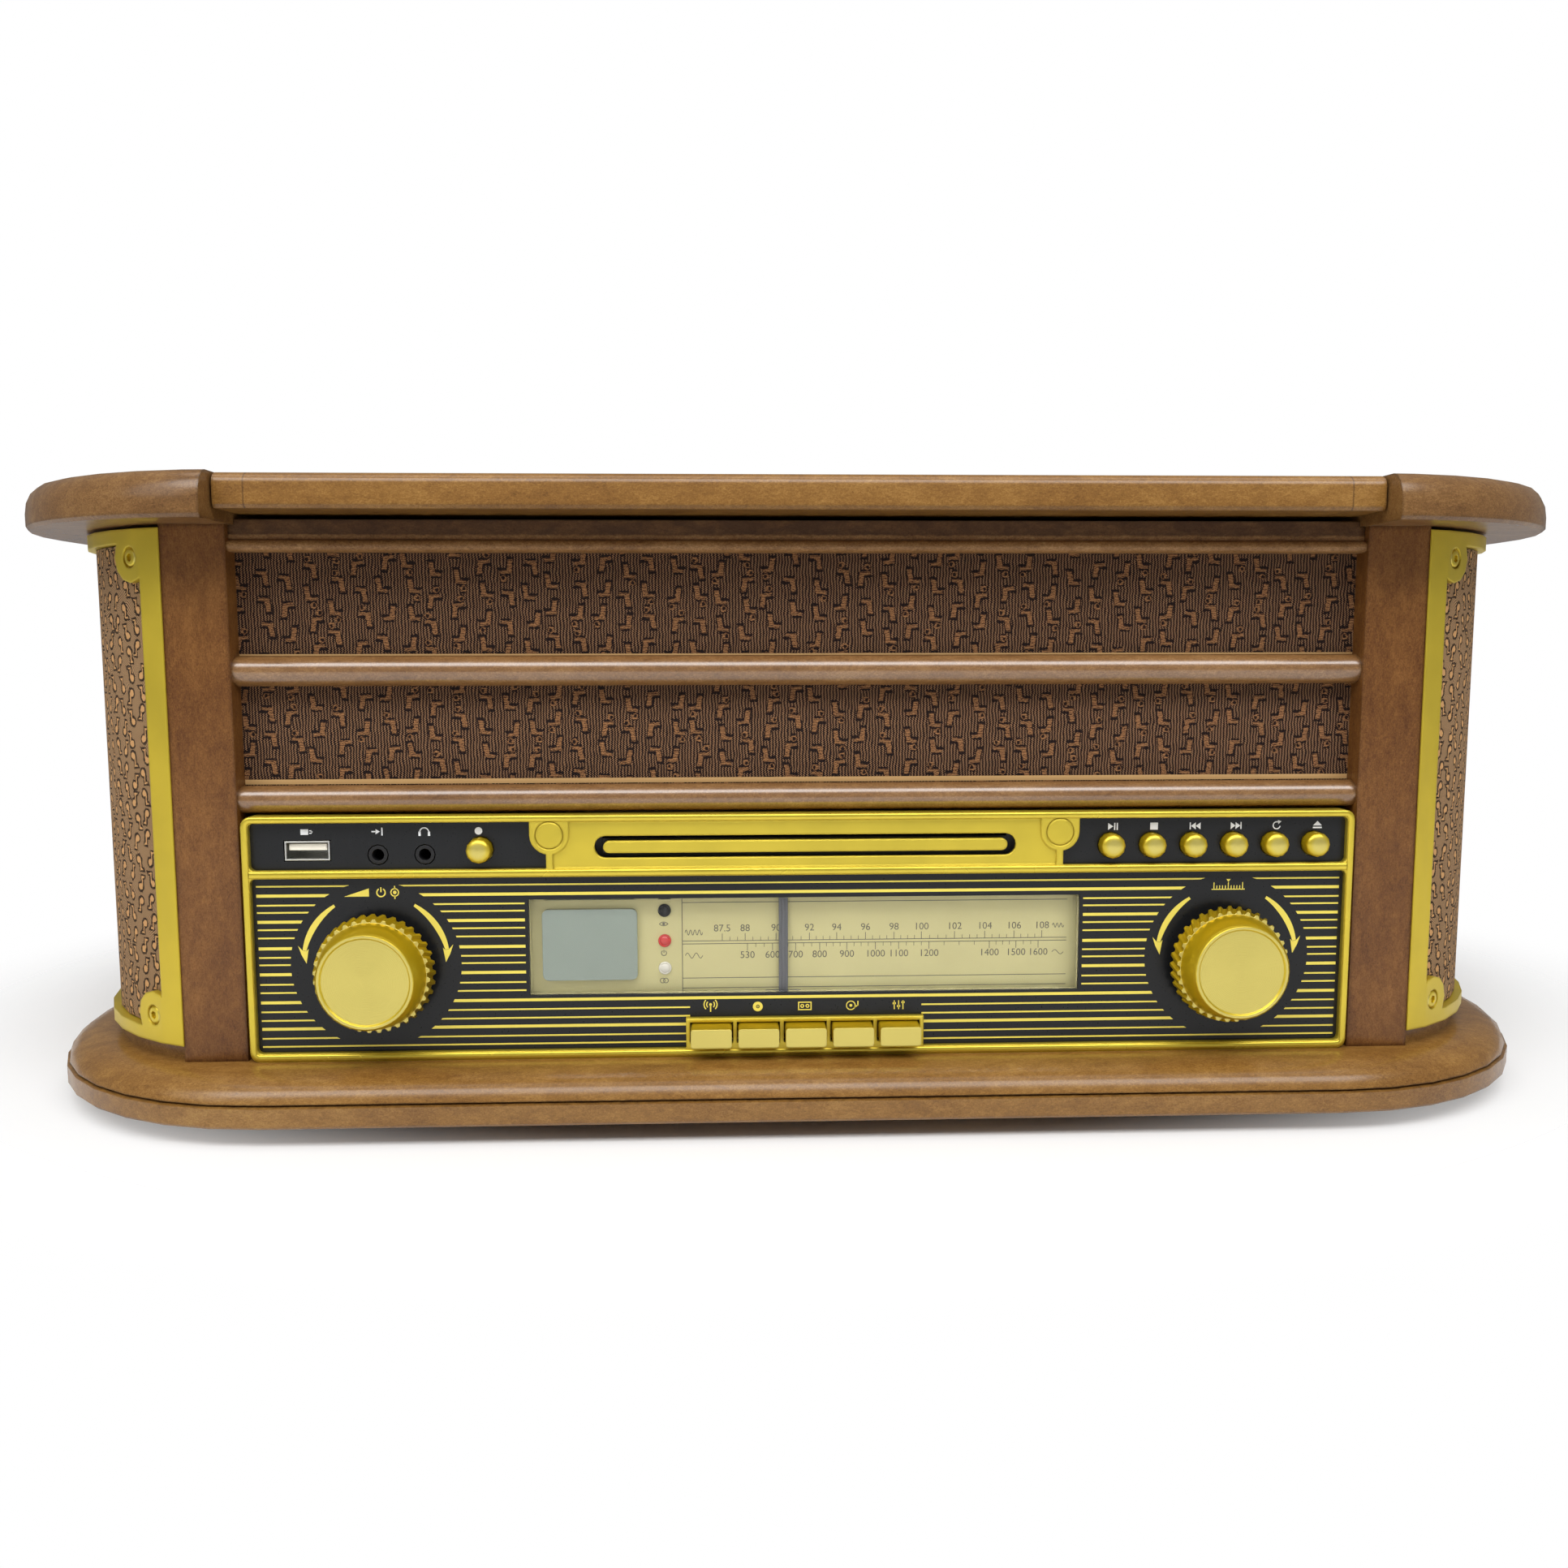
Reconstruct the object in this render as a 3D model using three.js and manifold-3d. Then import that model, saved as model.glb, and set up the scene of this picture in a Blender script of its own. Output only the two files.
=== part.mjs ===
// A table-top music centre in a wooden cabinet: a turntable under the lid, a radio with a
// slide-rule dial, a disc tray, curved loudspeaker grilles at the sides and a tape slot.
// Units are millimetres. X runs to the right, Y to the back and Z up. The origin is the
// centre of the footprint, on the surface that the feet stand on.
import * as THREE from "three";
import { mergeVertices } from "three/addons/utils/BufferGeometryUtils.js";
import Module from "manifold-3d";

const wasm = await Module();
wasm.setup();

// Overall sizes
const overallWidth = 500;
const overallDepth = 372;
const cornerRadius = 89.6;
const footHeight = 6;
const plinthHeight = 14.1;
const bodyHeight = 161.3;
const capThickness = 13.5;
const clearance = 0.3;
const overrun = 1;
const mergeTolerance = 0.0001;

// Plinth and feet
const plinthSetback = 2.3;
const plinthRoundWidth = 12.3;
const plinthRoundHeight = 6.9;
const plinthGrooveDepth = 2;
const plinthGrooveHeight = 0.9;
const plinthStep = 0.8;
const plinthEdgeBreak = 0.8;
const tierRadius = 70.4;
const tierHeight = 4.7;
const footRadius = 14;
const footTaper = 2;
const footInset = 34;

// Cabinet boards and rails
const boardSetback = 23.3;
const boardThickness = 18.9;
const sideWidth = 79.8;
const innerWidth = overallWidth - 2 * sideWidth;
const grilleBoardSetback = 7.5;
const grilleBoardThickness = 4;
const railSetback = 0.6;
const lowerRailLift = 75.6;
const lowerRailHeight = 8.4;
const middleRailLift = 113.8;
const middleRailHeight = 9.1;
const topRailLift = 153.5;
const topRailNoseHeight = 3.6;
const topRailNoseDepth = 2.2;
const topRailHeight = 9.4;
const backPanelThickness = 5;

// Top caps and lid
const capRoundWidth = 6;
const capRoundHeight = 8.9;
const capEdgeBreak = 1;
const lidInset = 2.4;
const lidSideGap = 0.7;
const lidThickness = 10.3;
const lidOverhang = 13;
const lidRoundDepth = 4.4;
const lidRoundHeight = 3.3;
const lidEdgeBreak = 1;

// Hinge and lid stay
const hingeLength = 240;
const hingeKnuckles = 6;
const hingeKnuckleGap = 0.4;
const hingeBarrelRadius = 3;
const hingeBoreRadius = 1.5;
const hingePinRadius = 1.3;
const hingeOffset = 3.3;
const hingeLeafThickness = 1.2;
const hingeLidLeafHeight = 7;
const hingeCabinetLeafHeight = 14;
const hingeLeafClear = 3.6;
const stayInset = 7.2;
const stayThickness = 2;
const stayRadius = 75;
const stayWidth = 8;
const stayStartDegrees = 0;
const stayEndDegrees = 81;
const stayFootLength = 22;
const stayFootHeight = 2.6;
const stayFootWidth = 8;
const stayGuideBack = 10;
const stayGuideFront = 8;
const stayGuideTopDrop = 3.4;
const stayGuideHeight = 12;
const staySlotClearance = 0.6;

// Side grilles and their trim, as radii about the cabinet's corner centres
const grilleRadius = 70.7;
const grilleThickness = 3.5;
const trimInnerRadius = 71;
const trimRadius = 73;
const trimFlangeInnerRadius = 67;
const trimFlangeHeight = 4.3;
const trimTopGap = 1;
const trimLift = 5;
const trimStileWidth = 7.4;
const trimEarRadius = 7.5;
const trimEarArc = 16.5;
const trimEarDrop = 4;
const trimScrewRadius = 3.2;
const trimScrewDepth = 1.2;

// Loudspeakers
const speakerHeight = 80;
const speakerFlangeRadius = 39;
const speakerFlangeThickness = 3;
const speakerHoleRadius = 33.5;
const speakerBasketRadius = 32.5;
const speakerBasketBackRadius = 20;
const speakerBasketDepth = 22;
const speakerMagnetRadius = 22;
const speakerMagnetDepth = 13;
const speakerConeDepth = 12;
const speakerCapRadius = 11;

// Front panel moulding, facia and display, measured back from the panel's front rim
const panelInset = 1.2;
const panelWidth = innerWidth - 2 * panelInset;
const panelHeight = 75.2;
const panelProud = 1.5;
const panelRadius = 3;
const panelRim = 2;
const panelSink = 1;
const mouldingThickness = 2.2;
const mouldingSkirt = 1.6;
const mouldingDepth = 14;
const faciaThickness = 2;
const fieldLow = 2.5;
const fieldHigh = 56.4;
const stripLow = 58.8;
const stripHigh = 73.2;
const openingRadius = 1.6;
const bossShare = 0.228;
const bossLift = 69.1;
const bossRadius = 5.9;
const bossPlugRadius = 4;
const bossGroove = 0.35;
const bossGrooveDepth = 0.6;
const bossStem = 2;
const slotWidthShare = 0.3772;
const slotWidth = innerWidth * slotWidthShare;
const slotHeight = 6.7;
const slotLift = 65.3;

// Dial window, dial plate, display and pointer
const windowWidthShare = 0.4971;
const windowWidth = innerWidth * windowWidthShare;
const windowHeight = 29.8;
const windowLift = 19.3;
const windowFlange = 1.6;
const windowFlangeThickness = 1;
const dialPlateDepth = 7.8;
const dialPlateThickness = 1.6;
const dialWall = 1.6;
const dialWallMargin = 1;
const displayWidthShare = 0.172;
const displayHeight = 22.2;
const displayPlaceShare = -0.393;
const displayLift = 23;
const displayThickness = 1.9;
const displayRadius = 1.8;
const pointerPlaceShare = -0.0408;
const pointerCarrierWidth = 2.8;
const pointerNeedleWidth = 0.9;
const pointerThickness = 0.7;
const pointerNeedleThickness = 0.4;
const pointerGap = 0.3;
const pointerFootWidth = 11;
const pointerFootHeight = 2;

// Knobs
const knobPlaceShare = 0.38235;
const knobLift = 27.9;
const knobReach = 13.7;
const knobRear = 1.8;
const knobRidges = 36;
const knobRidgeLength = 4.4;
const knobRidgeRadius = 18.1;
const knobRidgeRise = 0.9;
const knobRidgeTaper = 0.8;
const knobRidgeWidthShare = 0.34;
const knobRidgeCrestShare = 0.14;
const knobRidgeSlantShare = 0.6;
const knobRidgeLedge = 0.15;
const knobFaceRadius = 14.6;
const knobEdgeBreak = 0.6;
const knobFaceRim = 1.3;
const knobFaceSink = 0.5;
const knobShaftRadius = 3;
const knobShaftLength = 14;
const knobHubRadius = 7;

// Function keys
const keyCount = 5;
const keyPitchShare = 0.0423;
const keyPitch = innerWidth * keyPitchShare;
const keyRowX = -0.4;
const keySpacing = 2;
const keyWidth = keyPitch - keySpacing;
const keyHeight = 5.8;
const keyLift = 4.6;
const keyReach = 6.6;
const keyDepth = 9;
const keyRadius = 0.7;
const keyGap = 0.4;
const keySurround = 1.2;

// Round push buttons
const transportPitchShare = 0.03731;
const transportPitch = innerWidth * transportPitchShare;
const buttonRadiusShare = 0.2992;
const buttonRadius = transportPitch * buttonRadiusShare;
const buttonReach = 2.4;
const buttonDomeHeight = 1.5;
const buttonFlangeShare = 0.3858;
const buttonFlangeRadius = transportPitch * buttonFlangeShare;
const buttonFlangeThickness = 2;
const recordButtonShare = -0.28966;
const transportButtonShare = 0.27556;
const transportCount = 6;
const buttonLift = 64.6;

// Sockets at the front
const usbPlaceShare = -0.44125;
const usbWidth = 13.4;
const usbHeight = 5.9;
const usbWall = 0.5;
const usbDepth = 13;
const usbTongueHeight = 1.9;
const usbTongueWidth = 11.2;
const usbTongueSetback = 1;
const jackLift = 63.2;
const jackPlaceShares = [-0.37955, -0.33843];
const jackRadius = 2.9;
const jackBoreRadius = 1.85;
const jackBlockWidth = 9;
const jackBoardThickness = 1.6;
const jackBoardMargin = 4;

// Disc tray and mechanism
const traySideGap = 2.2;
const trayWidth = slotWidth - 2 * traySideGap;
const trayHeight = 4.6;
const trayTail = 18;
const trayLength = trayWidth + trayTail;
const trayDoorSideGap = 2.7;
const trayDoorWidth = slotWidth - 2 * trayDoorSideGap;
const trayDoorHeight = 3.7;
const trayDoorDepth = 3;
const trayDoorSetback = 0.6;
const discMargin = 1.7;
const discRadius = trayWidth / 2 - discMargin;
const discRecessDepth = 1.6;
const discHoleRadius = 16;
const mechanismWall = 2.4;
const mechanismRunGap = 0.4;
const mechanismHeight = 12;
const mechanismTail = 16;
const mechanismLength = trayLength + mechanismTail;
const mechanismSetback = 7;
const mechanismLegWidth = 8;
const mechanismLegDepth = 12;
const mechanismBridgeLength = 46;

// Deck tray in the top of the cabinet
const deckDepth = 41.4;
const deckFloorHeight = bodyHeight - deckDepth;
const deckThickness = 3;
const deckWall = 2;
const platterPlaceShare = -0.0411;
const platterY = 3.5;
const bearingBossRadius = 12;
const bearingBossHeight = 3;
const bearingBoreRadius = 4.4;
const bearingBossDepth = 9;

// Platter and mat
const platterRadius = 100;
const platterLift = 3.3;
const platterHeight = 10;
const platterRimWidth = 6;
const platterWebThickness = 3;
const platterHubRadius = 14;
const platterEdgeBreak = 1.2;
const spindleRadius = 3.55;
const spindleHeight = 13;
const spindleTip = 2;
const bearingShaftRadius = 4;
const bearingShaftLength = 12;
const matThickness = 2.2;
const matHoleRadius = 4.2;

// Turntable motor
const motorLeft = 70;
const motorBehind = 38.5;
const motorRadius = 16;
const motorHeight = 24;
const motorShaftRadius = 1;
const motorPulleyRadius = 4;
const motorPulleyHeight = 4;
const motorHoleRadius = 6;

// Tonearm, yoke and lift
const armInset = 34.2;
const armBackInset = 49.7;
const armLengthShare = 0.641;
const armLift = 25.8;
const pedestalRadius = 16;
const pedestalHeight = 10;
const yokeRadius = 15;
const yokeThickness = 4.5;
const yokeShaftRadius = 5;
const yokeShaftLength = 19;
const yokeEarThickness = 3;
const yokeEarInner = 8.6;
const yokeEarWidth = 10;
const yokeEarRise = 5.5;
const armTubeRadius = 3.6;
const armBlockWidth = 16;
const armBlockLength = 16;
const armBlockHeight = 10;
const armPinRadius = 1.5;
const armPinClearance = 0.2;
const armTailLength = 22;
const armWeightRadius = 8;
const armWeightLength = 12;
const headLength = 30;
const headWidth = 15;
const headHeight = 5;
const headOffsetDegrees = 22;
const cartridgeWidth = 10;
const cartridgeLength = 16;
const cartridgeHeight = 5.2;
const armRestShare = 0.838;
const armRestLength = 10;
const armRestWidth = 14.4;
const armRestLipWidth = 3;
const armRestLipRise = 7;

// Cue lever and speed switch
const cueInset = 13.2;
const cueForward = 30;
const cueAxisLift = 8;
const cueHubRadius = 4;
const cueHubWidth = 5;
const cuePinRadius = 1.5;
const cueEarThickness = 2.4;
const cueLeverLength = 24;
const cueLeverThickness = 3;
const cuePadLength = 9;
const cuePadWidth = 5;
const speedInset = 21.2;
const speedFrontInset = 27.2;
const speedDiscRadius = 11;
const speedDiscHeight = 3.4;
const speedShaftRadius = 3;
const speedShaftLength = 8;
const speedLeverWidth = 4;
const speedLeverHeight = 5;
const speedLeverReach = 15;

// Main board with its transformer
const mainBoardWidth = 190;
const mainBoardFrontGap = 25.2;
const mainBoardBackGap = 19.7;
const mainBoardThickness = 1.6;
const standoffHeight = 6;
const standoffRadius = 4;
const standoffInset = 8;
const transformerWidth = 54;
const transformerDepth = 44;
const transformerHeight = 42;
const heatSinkWidth = 70;
const heatSinkDepth = 16;
const heatSinkHeight = 30;
const heatSinkFins = 4;
const heatSinkFinThickness = 2;
const capacitorRadius = 9;
const capacitorHeight = 26;
const capacitorPitch = 24;

// Tape deck behind the right-hand grille
const tapeLift = 23;
const tapeBezelShare = 0.3763;
const tapeBezelLength = overallDepth * tapeBezelShare;
const tapeSlotShare = 0.75;
const tapeSlotLength = tapeBezelLength * tapeSlotShare;
const tapeSlotHeight = 14.4;
const tapeDepth = 68;
const tapeWall = 2;
const tapeBezelHeight = 26;
const tapeBezelThickness = 2.6;
const tapeSlotShiftShare = -0.0643;
const tapeFlapThickness = 1.5;
const tapeFlapGap = 0.5;
const tapeFlapPinRadius = 1;
const tapeKeyLength = 11;
const tapeKeyHeight = 9;
const tapeKeyReach = 3;
const tapeKeyDepth = 9;
const tapeKeyPlaceShare = 0.4;

// Back panel fittings
const ventCount = 8;
const ventPitch = 9;
const ventWidth = 3;
const ventHeight = 34;
const ventX = -70;
const ventLift = 92;
const inletInset = 52.2;
const inletLift = 26;
const inletWidth = 18;
const inletHeight = 10;
const inletDepth = 3.6;
const inletPinRadius = 1.2;
const inletPinPitch = 8;
const lineSocketX = 40;
const lineSocketPitch = 16;
const lineSocketLift = 26;
const lineSocketRadius = 4.6;
const lineSocketBore = 1.8;
const lineSocketReach = 6;

// Facet counts
const cornerSteps = 9;
const roundSteps = 4;
const outlineSteps = 2;
const roundSegments = 24;
const smallSegments = 12;
const pinSegments = 8;
const largeSegments = 28;
const speakerSegments = 12;
const staySteps = 10;

// Levels and planes worked out from the sizes above
const plinthTop = footHeight + plinthHeight;
const capBase = plinthTop + bodyHeight;
const capTop = capBase + capThickness;
const lidBase = capTop - lidThickness;
const cornerX = overallWidth / 2 - cornerRadius;
const cornerY = overallDepth / 2 - cornerRadius;
const boardFront = boardSetback - overallDepth / 2;
const boardBack = -boardFront;
const boardInner = innerWidth / 2;
const boardOuter = boardInner + boardThickness;
const panelFront = boardFront - panelProud;
const grilleBoardFront = boardFront + grilleBoardSetback;
const grilleBoardBack = grilleBoardFront + grilleBoardThickness;
const backPanelFront = boardBack - backPanelThickness;
const lidWidth = innerWidth - 2 * lidInset;
const capInner = lidWidth / 2 + lidSideGap;
const faciaFront = panelFront + mouldingThickness;
const faciaBack = faciaFront + faciaThickness;
const deckFloor = plinthTop + deckFloorHeight;
const deckUnder = deckFloor - deckThickness;
const hingeY = boardBack + hingeOffset;
const hingeZ = (capBase + lidBase) / 2;
const armZ = deckFloor + armLift;
const bossX = innerWidth * bossShare;
const displayWidth = windowWidth * displayWidthShare;
const displayX = windowWidth * displayPlaceShare;
const pointerX = windowWidth * pointerPlaceShare;
const knobX = innerWidth * knobPlaceShare;
const recordButtonX = innerWidth * recordButtonShare;
const transportButtonX = innerWidth * transportButtonShare;
const usbX = innerWidth * usbPlaceShare;
const jackPositions = jackPlaceShares.map((share) => innerWidth * share);
const platterX = innerWidth * platterPlaceShare;
const motorX = platterX - motorLeft;
const motorY = platterY + motorBehind;
const armX = boardInner - armInset;
const armY = backPanelFront - armBackInset;
const armLength = (backPanelFront - grilleBoardBack) * armLengthShare;
const armRestY = armY - armLength * armRestShare;
const cueX = boardInner - cueInset;
const cueY = armY - cueForward;
const speedX = boardInner - speedInset;
const speedY = grilleBoardBack + speedFrontInset;
const stayX = stayInset - boardInner;
const mechanismBack = panelFront + mechanismSetback + mechanismLength;
const mainBoardDepth = backPanelFront - mechanismBack - mainBoardFrontGap - mainBoardBackGap;
const mainBoardY = mechanismBack + mainBoardFrontGap + mainBoardDepth / 2;
const tapeSlotShift = tapeBezelLength * tapeSlotShiftShare;
const tapeKeyY = tapeBezelLength * tapeKeyPlaceShare;
const inletX = boardInner - inletInset;
const quarterTurn = Math.PI / 2;

// A closed solid from a geometry, with shared vertices merged, places rounded and collapsed faces dropped
function solid(geometry) {
  const bare = geometry.clone();
  bare.deleteAttribute("normal");
  bare.deleteAttribute("uv");
  const merged = mergeVertices(bare, mergeTolerance);
  const snap = (value) => Math.round(value / mergeTolerance) * mergeTolerance;
  const kept = [];
  const index = merged.index.array;
  for (let i = 0; i < index.length; i += 3) {
    const [a, b, c] = [index[i], index[i + 1], index[i + 2]];
    if (a !== b && b !== c && c !== a) {
      kept.push(a, b, c);
    }
  }
  return new wasm.Manifold(
    new wasm.Mesh({
      numProp: 3,
      vertProperties: merged.attributes.position.array.map(snap),
      triVerts: new Uint32Array(kept),
    }),
  );
}

function join(...parts) {
  return parts.flat().reduce((sum, part) => sum.add(part));
}

function cut(body, ...tools) {
  return tools.flat().reduce((rest, tool) => rest.subtract(tool), body);
}

function span(centre, width) {
  return [centre - width / 2, centre + width / 2];
}

// A box between two places along each axis
function block([x0, x1], [y0, y1], [z0, z1]) {
  const box = new THREE.BoxGeometry(x1 - x0, y1 - y0, z1 - z0);
  box.translate((x0 + x1) / 2, (y0 + y1) / 2, (z0 + z1) / 2);
  return solid(box);
}

// An outline with the corners rounded, from its limits in two directions
function roundedOutline([u0, u1], [v0, v1], radius) {
  const shape = new THREE.Shape();
  shape.absarc(u1 - radius, v0 + radius, radius, -quarterTurn, 0);
  shape.absarc(u1 - radius, v1 - radius, radius, 0, quarterTurn);
  shape.absarc(u0 + radius, v1 - radius, radius, quarterTurn, 2 * quarterTurn);
  shape.absarc(u0 + radius, v0 + radius, radius, 2 * quarterTurn, 3 * quarterTurn);
  return shape;
}

function polygon(points) {
  return new THREE.Shape(points.map(([u, v]) => new THREE.Vector2(u, v)));
}

// Prisms along one axis: the outline holds (y, z) along X and (x, z) along Y
function prism(outline, depth, steps) {
  return new THREE.ExtrudeGeometry(outline, { depth, bevelEnabled: false, curveSegments: steps });
}

function alongX(outline, [x0, x1], steps = outlineSteps) {
  const geometry = prism(outline, x1 - x0, steps);
  const turn = new THREE.Matrix4().set(0, 0, 1, x0, 1, 0, 0, 0, 0, 1, 0, 0, 0, 0, 0, 1);
  return solid(geometry.applyMatrix4(turn));
}

function alongY(outline, [y0, y1], steps = outlineSteps) {
  const geometry = prism(outline, y1 - y0, steps);
  return solid(geometry.rotateX(quarterTurn).translate(0, y1, 0));
}

// A turned solid about an axis that points up, to the front or to the right
function turned(profile, [x, y, z], facing, segments = roundSegments, spin = 0) {
  const points = profile.map(([r, h]) => new THREE.Vector2(r, h));
  const geometry = new THREE.LatheGeometry(points, segments);
  geometry.rotateX(quarterTurn);
  if (facing === "front") {
    geometry.rotateX(quarterTurn);
  }
  if (facing === "right") {
    geometry.rotateY(quarterTurn);
  }
  geometry.rotateZ(spin);
  return solid(geometry.translate(x, y, z));
}

function disc(radius, [h0, h1], place, facing, segments, spin) {
  const profile = [[0, h0], [radius, h0], [radius, h1], [0, h1]];
  return turned(profile, place, facing, segments, spin);
}

function tube(outer, inner, [h0, h1], place, facing, segments) {
  const profile = [[inner, h0], [outer, h0], [outer, h1], [inner, h1], [inner, h0]];
  return turned(profile, place, facing, segments);
}

function middle(ring) {
  return [0, 1, 2].map((axis) => ring.reduce((sum, point) => sum + point[axis], 0) / ring.length);
}

// A stack of rings, each with the same number of points, closed at both ends
function ringStack(rings) {
  const count = rings[0].length;
  const index = [];
  for (let level = 0; level + 1 < rings.length; level++) {
    for (let i = 0; i < count; i++) {
      const a = level * count + i;
      const b = level * count + ((i + 1) % count);
      index.push(a, b, b + count, a, b + count, a + count);
    }
  }
  const last = (rings.length - 1) * count;
  const low = last + count;
  const high = low + 1;
  for (let i = 0; i < count; i++) {
    const next = (i + 1) % count;
    index.push(low, next, i, high, last + i, last + next);
  }
  const geometry = new THREE.BufferGeometry();
  const position = new Float32Array([...rings, [middle(rings[0]), middle(rings.at(-1))]].flat(2));
  geometry.setAttribute("position", new THREE.BufferAttribute(position, 3));
  geometry.setIndex(index);
  return solid(geometry);
}

// The cabinet's plan at an offset from the four corner centres
function planRing(offset, z) {
  const signs = [[1, 1], [-1, 1], [-1, -1], [1, -1]];
  return signs.flatMap(([sx, sy], corner) =>
    Array.from({ length: cornerSteps + 1 }, (_, i) => {
      const angle = (corner + i / cornerSteps) * quarterTurn;
      return [sx * cornerX + offset * Math.cos(angle), sy * cornerY + offset * Math.sin(angle), z];
    }),
  );
}

function planSolid(profile) {
  return ringStack(profile.map(([offset, z]) => planRing(offset, z)));
}

function planShell(outer, inner, [z0, z1]) {
  const cutter = planSolid([[inner, z0 - overrun], [inner, z1 + overrun]]);
  return cut(planSolid([[outer, z0], [outer, z1]]), cutter);
}

// The rounded quarter of an ellipse from its widest point to its top
function quarterRound(offset, z, width, height) {
  return Array.from({ length: roundSteps + 1 }, (_, i) => {
    const angle = (i / roundSteps) * quarterTurn;
    return [offset - width + width * Math.cos(angle), z + height * Math.sin(angle)];
  });
}

// Finishes
const finish = {
  wood: { color: 0x8c6c49, roughness: 0.45, metalness: 0 },
  grilleCloth: { color: 0x64503f, roughness: 0.95, metalness: 0 },
  sideCloth: { color: 0x9b7e5f, roughness: 0.95, metalness: 0 },
  gold: { color: 0xbeaa3c, roughness: 0.3, metalness: 0.8 },
  facia: { color: 0x2d2c2a, roughness: 0.35, metalness: 0 },
  clear: { color: 0xe8e6dc, roughness: 0.05, metalness: 0 },
  dial: { color: 0xcdc58c, roughness: 0.6, metalness: 0 },
  display: { color: 0x96a398, roughness: 0.2, metalness: 0 },
  pointer: { color: 0x2a2a30, roughness: 0.5, metalness: 0 },
  blackPlastic: { color: 0x1c1c1e, roughness: 0.5, metalness: 0 },
  greyPlastic: { color: 0x5a5a5c, roughness: 0.6, metalness: 0 },
  rubber: { color: 0x18181a, roughness: 0.9, metalness: 0 },
  steel: { color: 0xb8b8b4, roughness: 0.35, metalness: 1 },
  aluminium: { color: 0xc4c4c6, roughness: 0.35, metalness: 1 },
  circuit: { color: 0x2e5a3a, roughness: 0.6, metalness: 0 },
  paperCone: { color: 0x2b2b2b, roughness: 0.9, metalness: 0 },
  hardboard: { color: 0x5a4632, roughness: 0.85, metalness: 0 },
};

const model = new THREE.Group();

function part(name, shape, look, place = [0, 0, 0], mirrored = false) {
  const mesh = shape.getMesh();
  const geometry = new THREE.BufferGeometry();
  geometry.setAttribute("position", new THREE.BufferAttribute(mesh.vertProperties, 3));
  geometry.setIndex(new THREE.BufferAttribute(mesh.triVerts, 1));
  geometry.computeVertexNormals();
  const made = new THREE.Mesh(geometry, new THREE.MeshStandardMaterial(finish[look]));
  made.name = name;
  made.position.set(...place);
  made.scale.x = mirrored ? -1 : 1;
  model.add(made);
}

// Plinth: a rounded board with a quarter-round upper edge over a groove,
// and a low tier under each side wall
function plinth() {
  const edge = cornerRadius - plinthSetback;
  const roundFoot = plinthTop - plinthRoundHeight;
  const grooveFoot = roundFoot - plinthGrooveHeight;
  const roundEdge = edge - plinthStep;
  const slab = planSolid([
    [edge - plinthEdgeBreak, footHeight],
    [edge, footHeight + plinthEdgeBreak],
    [edge, grooveFoot],
    [edge - plinthGrooveDepth, grooveFoot + plinthGrooveHeight / 2],
    ...quarterRound(roundEdge, roundFoot, plinthRoundWidth, plinthRoundHeight),
  ]);
  const tier = planSolid([[tierRadius, footHeight + overrun], [tierRadius, plinthTop + tierHeight]]);
  const between = block(
    [-boardOuter, boardOuter],
    [-overallDepth / 2, overallDepth / 2],
    [plinthTop, plinthTop + tierHeight + overrun],
  );
  return join(slab, cut(tier, between));
}

function foot() {
  const profile = [
    [0, 0],
    [footRadius - footTaper, 0],
    [footRadius, footHeight / 2],
    [footRadius, footHeight],
    [0, footHeight],
  ];
  return turned(profile, [0, 0, 0], "up", smallSegments);
}

// Right-hand side board, whose front edge shows as a post
function sideBoard(withTapeSlot) {
  const board = block([boardInner, boardOuter], [boardFront, boardBack], [plinthTop, capBase]);
  const hole = [boardInner - overrun, boardOuter + overrun];
  const centre = [0, 0, plinthTop + speakerHeight];
  const bored = cut(board, disc(speakerHoleRadius, hole, centre, "right"));
  if (!withTapeSlot) {
    return bored;
  }
  const room = clearance + tapeWall;
  const window = block(
    hole,
    span(tapeSlotShift, tapeSlotLength + 2 * room),
    span(plinthTop + tapeLift, tapeSlotHeight + 2 * room),
  );
  return cut(bored, window);
}

// A rail with a half-round nose, from its height above the plinth
function rail(lift, height, front) {
  const radius = height / 2;
  const shape = new THREE.Shape();
  const middle = plinthTop + lift + radius;
  shape.moveTo(grilleBoardFront, middle + radius);
  shape.absarc(front + radius, middle, radius, quarterTurn, 3 * quarterTurn, false);
  shape.lineTo(grilleBoardFront, middle - radius);
  return alongX(shape, [-boardInner, boardInner]);
}

function topRail() {
  const front = boardFront + railSetback;
  const low = plinthTop + topRailLift;
  const face = [front + topRailNoseDepth, grilleBoardFront];
  const faceLow = low + topRailNoseHeight / 2;
  const body = block([-boardInner, boardInner], face, [faceLow, capBase]);
  const lip = block([-capInner, capInner], face, [faceLow, low + topRailHeight]);
  return join(rail(topRailLift, topRailNoseHeight, front), body, lip);
}

function grilleBoard() {
  const upright = [plinthTop + lowerRailLift, capBase];
  return block([-boardInner, boardInner], [grilleBoardFront, grilleBoardBack], upright);
}

// The right-hand grille: a shell round both corners, between the trim's flanges
const grilleLow = plinthTop + trimLift + trimFlangeHeight + clearance;
const grilleHigh = capBase - trimTopGap - trimFlangeHeight - clearance;
const tapeBezelRoom = { length: tapeBezelLength - 2 * tapeWall, height: tapeBezelHeight - 2 * tapeWall };

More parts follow.
